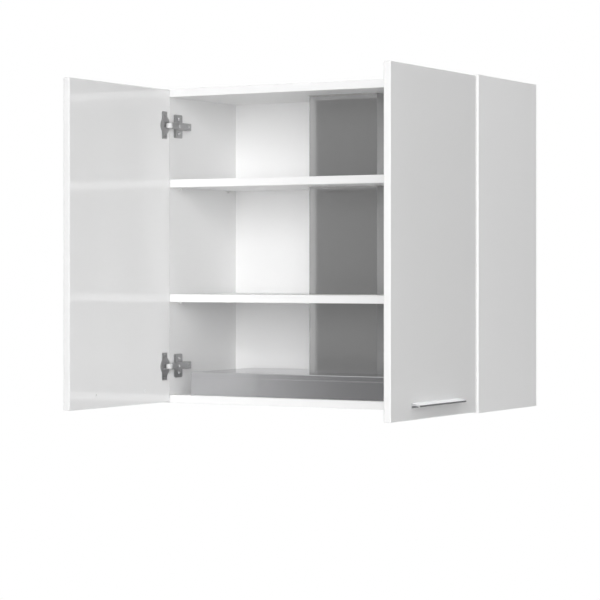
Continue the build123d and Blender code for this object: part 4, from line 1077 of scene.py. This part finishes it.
def button_material(name, spots):
    """A moulded cap with one engraved and filled dot for each of the given spots."""
    shader = Shader(name)
    cap = (0.42, 0.43, 0.44, 1.0)
    grain = shader.group("Fine grain", colour=cap, pearl_size=800.0, roughness=0.3)
    place = shader.place()
    mask = None
    for spot, radius in spots:
        aside = shader.vector("SUBTRACT", place, spot)["Vector"]
        level = shader.vector("MULTIPLY", aside, (1.0, 1.0, 0.0))["Vector"]
        dot = shader.ramp(shader.vector("LENGTH", level)["Value"], radius, 0.8 * radius)
        mask = dot if mask is None else shader.math("MAXIMUM", mask, dot)
    shader.relief(shader.math("SUBTRACT", grain["Height"], mask), 0.2, 0.1 * MM)
    shader.set(
        base_color=shader.mix(mask, grain["Colour"], (0.85, 0.86, 0.87, 1.0)),
        roughness=grain["Roughness"],
    )
    return shader.material


def circuit_material():
    """Green solder mask over copper tracks, with tinned pads."""
    shader = Shader("Solder mask")
    green = (0.02, 0.16, 0.06, 1.0)
    grain = shader.group("Fine grain", colour=green, pearl_size=500.0, roughness=0.35)
    place = shader.place()
    black = (0.0, 0.0, 0.0, 1.0)
    brick = {"Vector": place, "Scale": 160.0, "Mortar Size": 0.05}
    brick.update({"Color1": black, "Color2": black, "Mortar": WHITE})
    tracks = shader.add("TexBrick", brick, offset=0.37, squash=1.7)["Color"]
    copper = shader.mix(tracks, grain["Colour"], (0.05, 0.3, 0.1, 1.0))
    pads = shader.cells(place, 220.0, randomness=0.3)["Distance"]
    dots = shader.ramp(pads, 0.22, 0.18)
    shader.set(
        base_color=shader.mix(dots, copper, (0.7, 0.7, 0.68, 1.0)),
        metallic=dots,
        roughness=grain["Roughness"],
    )
    return shader.material


class CABINET_OT_controls(Operator):
    """Finish the buttons with their marks, the board behind them and the cable gland"""

    bl_idname = "cabinet.controls"
    bl_label = "Buttons and board"

    def execute(self, context):
        dot, lamp = 0.7 * MM, 1.7 * MM
        marks = {
            "button_light": (lamp, [0.0]),
            "button_speed_1": (dot, [0.0]),
            "button_speed_2": (dot, [-1.3 * MM, 1.3 * MM]),
            "button_speed_3": (dot, [-2.2 * MM, 0.0, 2.2 * MM]),
        }
        for node, (radius, offsets) in marks.items():
            low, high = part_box(node)
            middle = (low + high) / 2
            spots = [((middle.x + offset, middle.y, low.z), radius) for offset in offsets]
            finish_nodes(button_material("Moulding of " + node, spots), node)
        finish_nodes(circuit_material(), "control_board")
        rubbery = grained("Gland moulding", (0.02, 0.02, 0.02), 0.55, bump=0.2, pearl=900.0)
        finish_nodes(rubbery, "cable_gland")
        return {"FINISHED"}


# The studio: where each light stands, and what they all aim at
AIM = Vector((0.0, -0.2, -0.3))
KEY_PLACE = (1.784, -6.859, 0.916)
FILL_PLACE = (4.875, -5.075, 0.916)
REAR_PLACE = (-4.5, 4.2, 1.8)
HIGH_PLACE = (4.88, -0.5, 5.99)
CARD_PLACE = (-2.1733, -3.17, -0.3)
WALL_RADIUS, WALL_TOP = 9.0, 6.0


class CABINET_OT_stage(Operator):
    """Set up the floor, the light and the camera"""

    bl_idname = "cabinet.stage"
    bl_label = "Studio"

    def execute(self, context):
        looks = context.scene.cabinet_stage
        low = cad_bounds[0].z - looks.floor_drop
        floor = mesh_object("studio_floor", floor_material(), *sheet_faces(60.0, 60.0))
        floor.location = (0.0, 0.0, low)
        ring = ring_faces(WALL_RADIUS, (low, 1.0, 3.0, WALL_TOP), 72)
        walls = mesh_object("studio_walls", wall_material(looks.flag_level), *ring)
        card = mesh_object("studio_card", card_material(), *sheet_faces(0.84, 2.4))
        card.location = CARD_PLACE
        card.rotation_euler = (math.radians(90), 0.0, 0.0)
        for stand in (walls, card):
            stand.visible_camera = False
            stand.visible_diffuse = False
            stand.visible_shadow = False
            stand.visible_transmission = False
        world_light(context, looks.ambient)
        area_light("key", KEY_PLACE, 4.0, looks.key_power)
        area_light("fill", FILL_PLACE, 4.0, looks.fill_power)
        area_light("rear", REAR_PLACE, 4.0, looks.rear_power)
        high = area_light("high", HIGH_PLACE, 1.6, looks.high_power)
        high.visible_glossy = True
        handle_light(looks.accent_power)
        eye = bpy.data.cameras.new("camera")
        eye.lens = looks.lens
        eye.sensor_width = 36.0
        eye.shift_y = looks.shift
        eye.clip_end = 200.0
        camera = new_object("camera", eye)
        camera.location = looks.camera_place
        camera.rotation_euler = (math.radians(90), 0.0, looks.camera_turn)
        context.scene.camera = camera
        context.scene.view_settings.view_transform = "Standard"
        return {"FINISHED"}


def sheet_faces(width, depth):
    sides = ((-1, -1), (1, -1), (1, 1), (-1, 1))
    return [(x * width / 2, y * depth / 2, 0.0) for x, y in sides], [(0, 1, 2, 3)]


def ring_faces(radius, heights, steps):
    """A round wall about the z axis, in bands between the given heights."""
    corners = [corner for height in heights for corner in around(radius, height, steps)]
    faces = []
    for near in range(0, len(corners) - steps, steps):
        far = near + steps
        for step in range(steps):
            after = (step + 1) % steps
            faces.append((near + step, near + after, far + after, far + step))
    return corners, faces


def mesh_object(name, material, points, faces):
    mesh = bpy.data.meshes.new(name)
    mesh.from_pydata(points, [], faces)
    mesh.update()
    mesh.materials.append(material)
    return new_object(name, mesh)


def wall_material(level):
    """Grey studio wall that grows lighter towards the top."""
    shader = Shader("Studio wall")
    height = shader.split(shader.place())["Z"]
    return shader.glow(
        shader.ramp(height, 0.5, 5.0, level, 1.0, interpolation_type="SMOOTHSTEP")
    )


def card_material():
    """Pale card whose reflection carries the open door's on along the chimney's edge."""
    shader = Shader("Studio card")
    return shader.glow(shader.ramp(shader.noise(shader.place(), 3.0), 0.0, 1.0, 0.66, 0.76))


def floor_material():
    """Pale floor that keeps a shadow near the cabinet and turns to plain white further out."""
    shader = Shader("Studio floor")
    shader.set(roughness=0.8, base_color=(0.75, 0.75, 0.75, 1.0))
    reach = shader.vector("LENGTH", shader.place())["Value"]
    fade = shader.ramp(reach, 1.0, 4.5, interpolation_type="SMOOTHSTEP")
    amount = shader.math("MULTIPLY", shader.seen(), fade)
    white = shader.add("Emission")[0]
    mix = shader.add("MixShader", {0: amount, 1: shader.surface.outputs[0], 2: white})
    shader.feed(shader.output, mix[0])
    return shader.material


def world_light(context, level):
    """Even light from all round; the camera, metal and glass see plain white instead."""
    world = bpy.data.worlds.new("Studio")
    context.scene.world = world
    world.use_nodes = True
    nodes = Nodes(world.node_tree)
    even = nodes.tree.nodes["Background"]
    nodes.feed(even.inputs["Color"], WHITE)
    nodes.feed(even.inputs["Strength"], level)
    white = nodes.add("Background", {"Color": WHITE, "Strength": 1.0})[0]
    mix = nodes.add("MixShader", {0: nodes.seen(), 1: even.outputs[0], 2: white})
    nodes.feed(nodes.tree.nodes["World Output"].inputs["Surface"], mix[0])


def area_light(name, place, size, power):
    """A square soft box aimed at the cabinet, which metal and gloss don't reflect."""
    lamp = bpy.data.lights.new(name, "AREA")
    lamp.shape = "SQUARE"
    lamp.size = size
    lamp.energy = power
    made = new_object(name, lamp)
    made.location = place
    made.rotation_euler = (AIM - Vector(place)).to_track_quat("-Z", "Y").to_euler()
    made.visible_glossy = False
    return made


def handle_light(power):
    """A narrow light straight down on the right handle alone, which throws it up the door."""
    low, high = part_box("handle_right")
    above = 2.6
    lamp = bpy.data.lights.new("accent", "SPOT")
    lamp.energy = power
    lamp.spot_size = 2 * math.atan(0.6 * (high.y - low.y) / above)
    lamp.spot_blend = 0.3
    lamp.shadow_soft_size = 0.03
    made = new_object("accent", lamp)
    made.location = (high.x + 10 * MM, (low.y + high.y) / 2, high.z + above)
    made.visible_camera = False
    made.visible_glossy = False
    lit = bpy.data.collections.new("handle_light_only")
    lit.objects.link(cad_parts["handle_right"])
    made.light_linking.receiver_collection = lit


OPERATORS = (
    CABINET_OT_boards,
    CABINET_OT_doors,
    CABINET_OT_fittings,
    CABINET_OT_screws,
    CABINET_OT_handles,
    CABINET_OT_hood,
    CABINET_OT_blower,
    CABINET_OT_filters,
    CABINET_OT_lamps,
    CABINET_OT_controls,
    CABINET_OT_stage,
)
PROPERTIES = {
    "cabinet_laminate": LaminateLooks,
    "cabinet_steel": SteelLooks,
    "cabinet_sizes": SmallSizes,
    "cabinet_stage": StageLooks,
}


class CABINET_PT_sidebar(Panel):
    """Lists the sizes and colours and the steps that use them"""

    bl_label = "Range hood cabinet"
    bl_idname = "CABINET_PT_sidebar"
    bl_space_type = "VIEW_3D"
    bl_region_type = "UI"
    bl_category = "Cabinet"

    def draw(self, context):
        for looks in PROPERTIES:
            group = getattr(context.scene, looks)
            for name in group.bl_rna.properties.keys():
                if name not in ("rna_type", "name"):
                    self.layout.prop(group, name)
        for operator in OPERATORS:
            self.layout.operator(operator.bl_idname)


CLASSES = (*PROPERTIES.values(), *OPERATORS, CABINET_PT_sidebar)


def register():
    for made in CLASSES:
        bpy.utils.register_class(made)
    for name, kind in PROPERTIES.items():
        setattr(bpy.types.Scene, name, PointerProperty(type=kind))


def unregister():
    for name in PROPERTIES:
        delattr(bpy.types.Scene, name)
    for made in reversed(CLASSES):
        bpy.utils.unregister_class(made)


def main():
    register()
    bpy.ops.cabinet.boards()
    bpy.ops.cabinet.doors()
    bpy.ops.cabinet.fittings()
    bpy.ops.cabinet.screws()
    bpy.ops.cabinet.handles()
    bpy.ops.cabinet.hood()
    bpy.ops.cabinet.blower()
    bpy.ops.cabinet.filters()
    bpy.ops.cabinet.lamps()
    bpy.ops.cabinet.controls()
    bpy.ops.cabinet.stage()


if __name__ == "__main__":
    main()
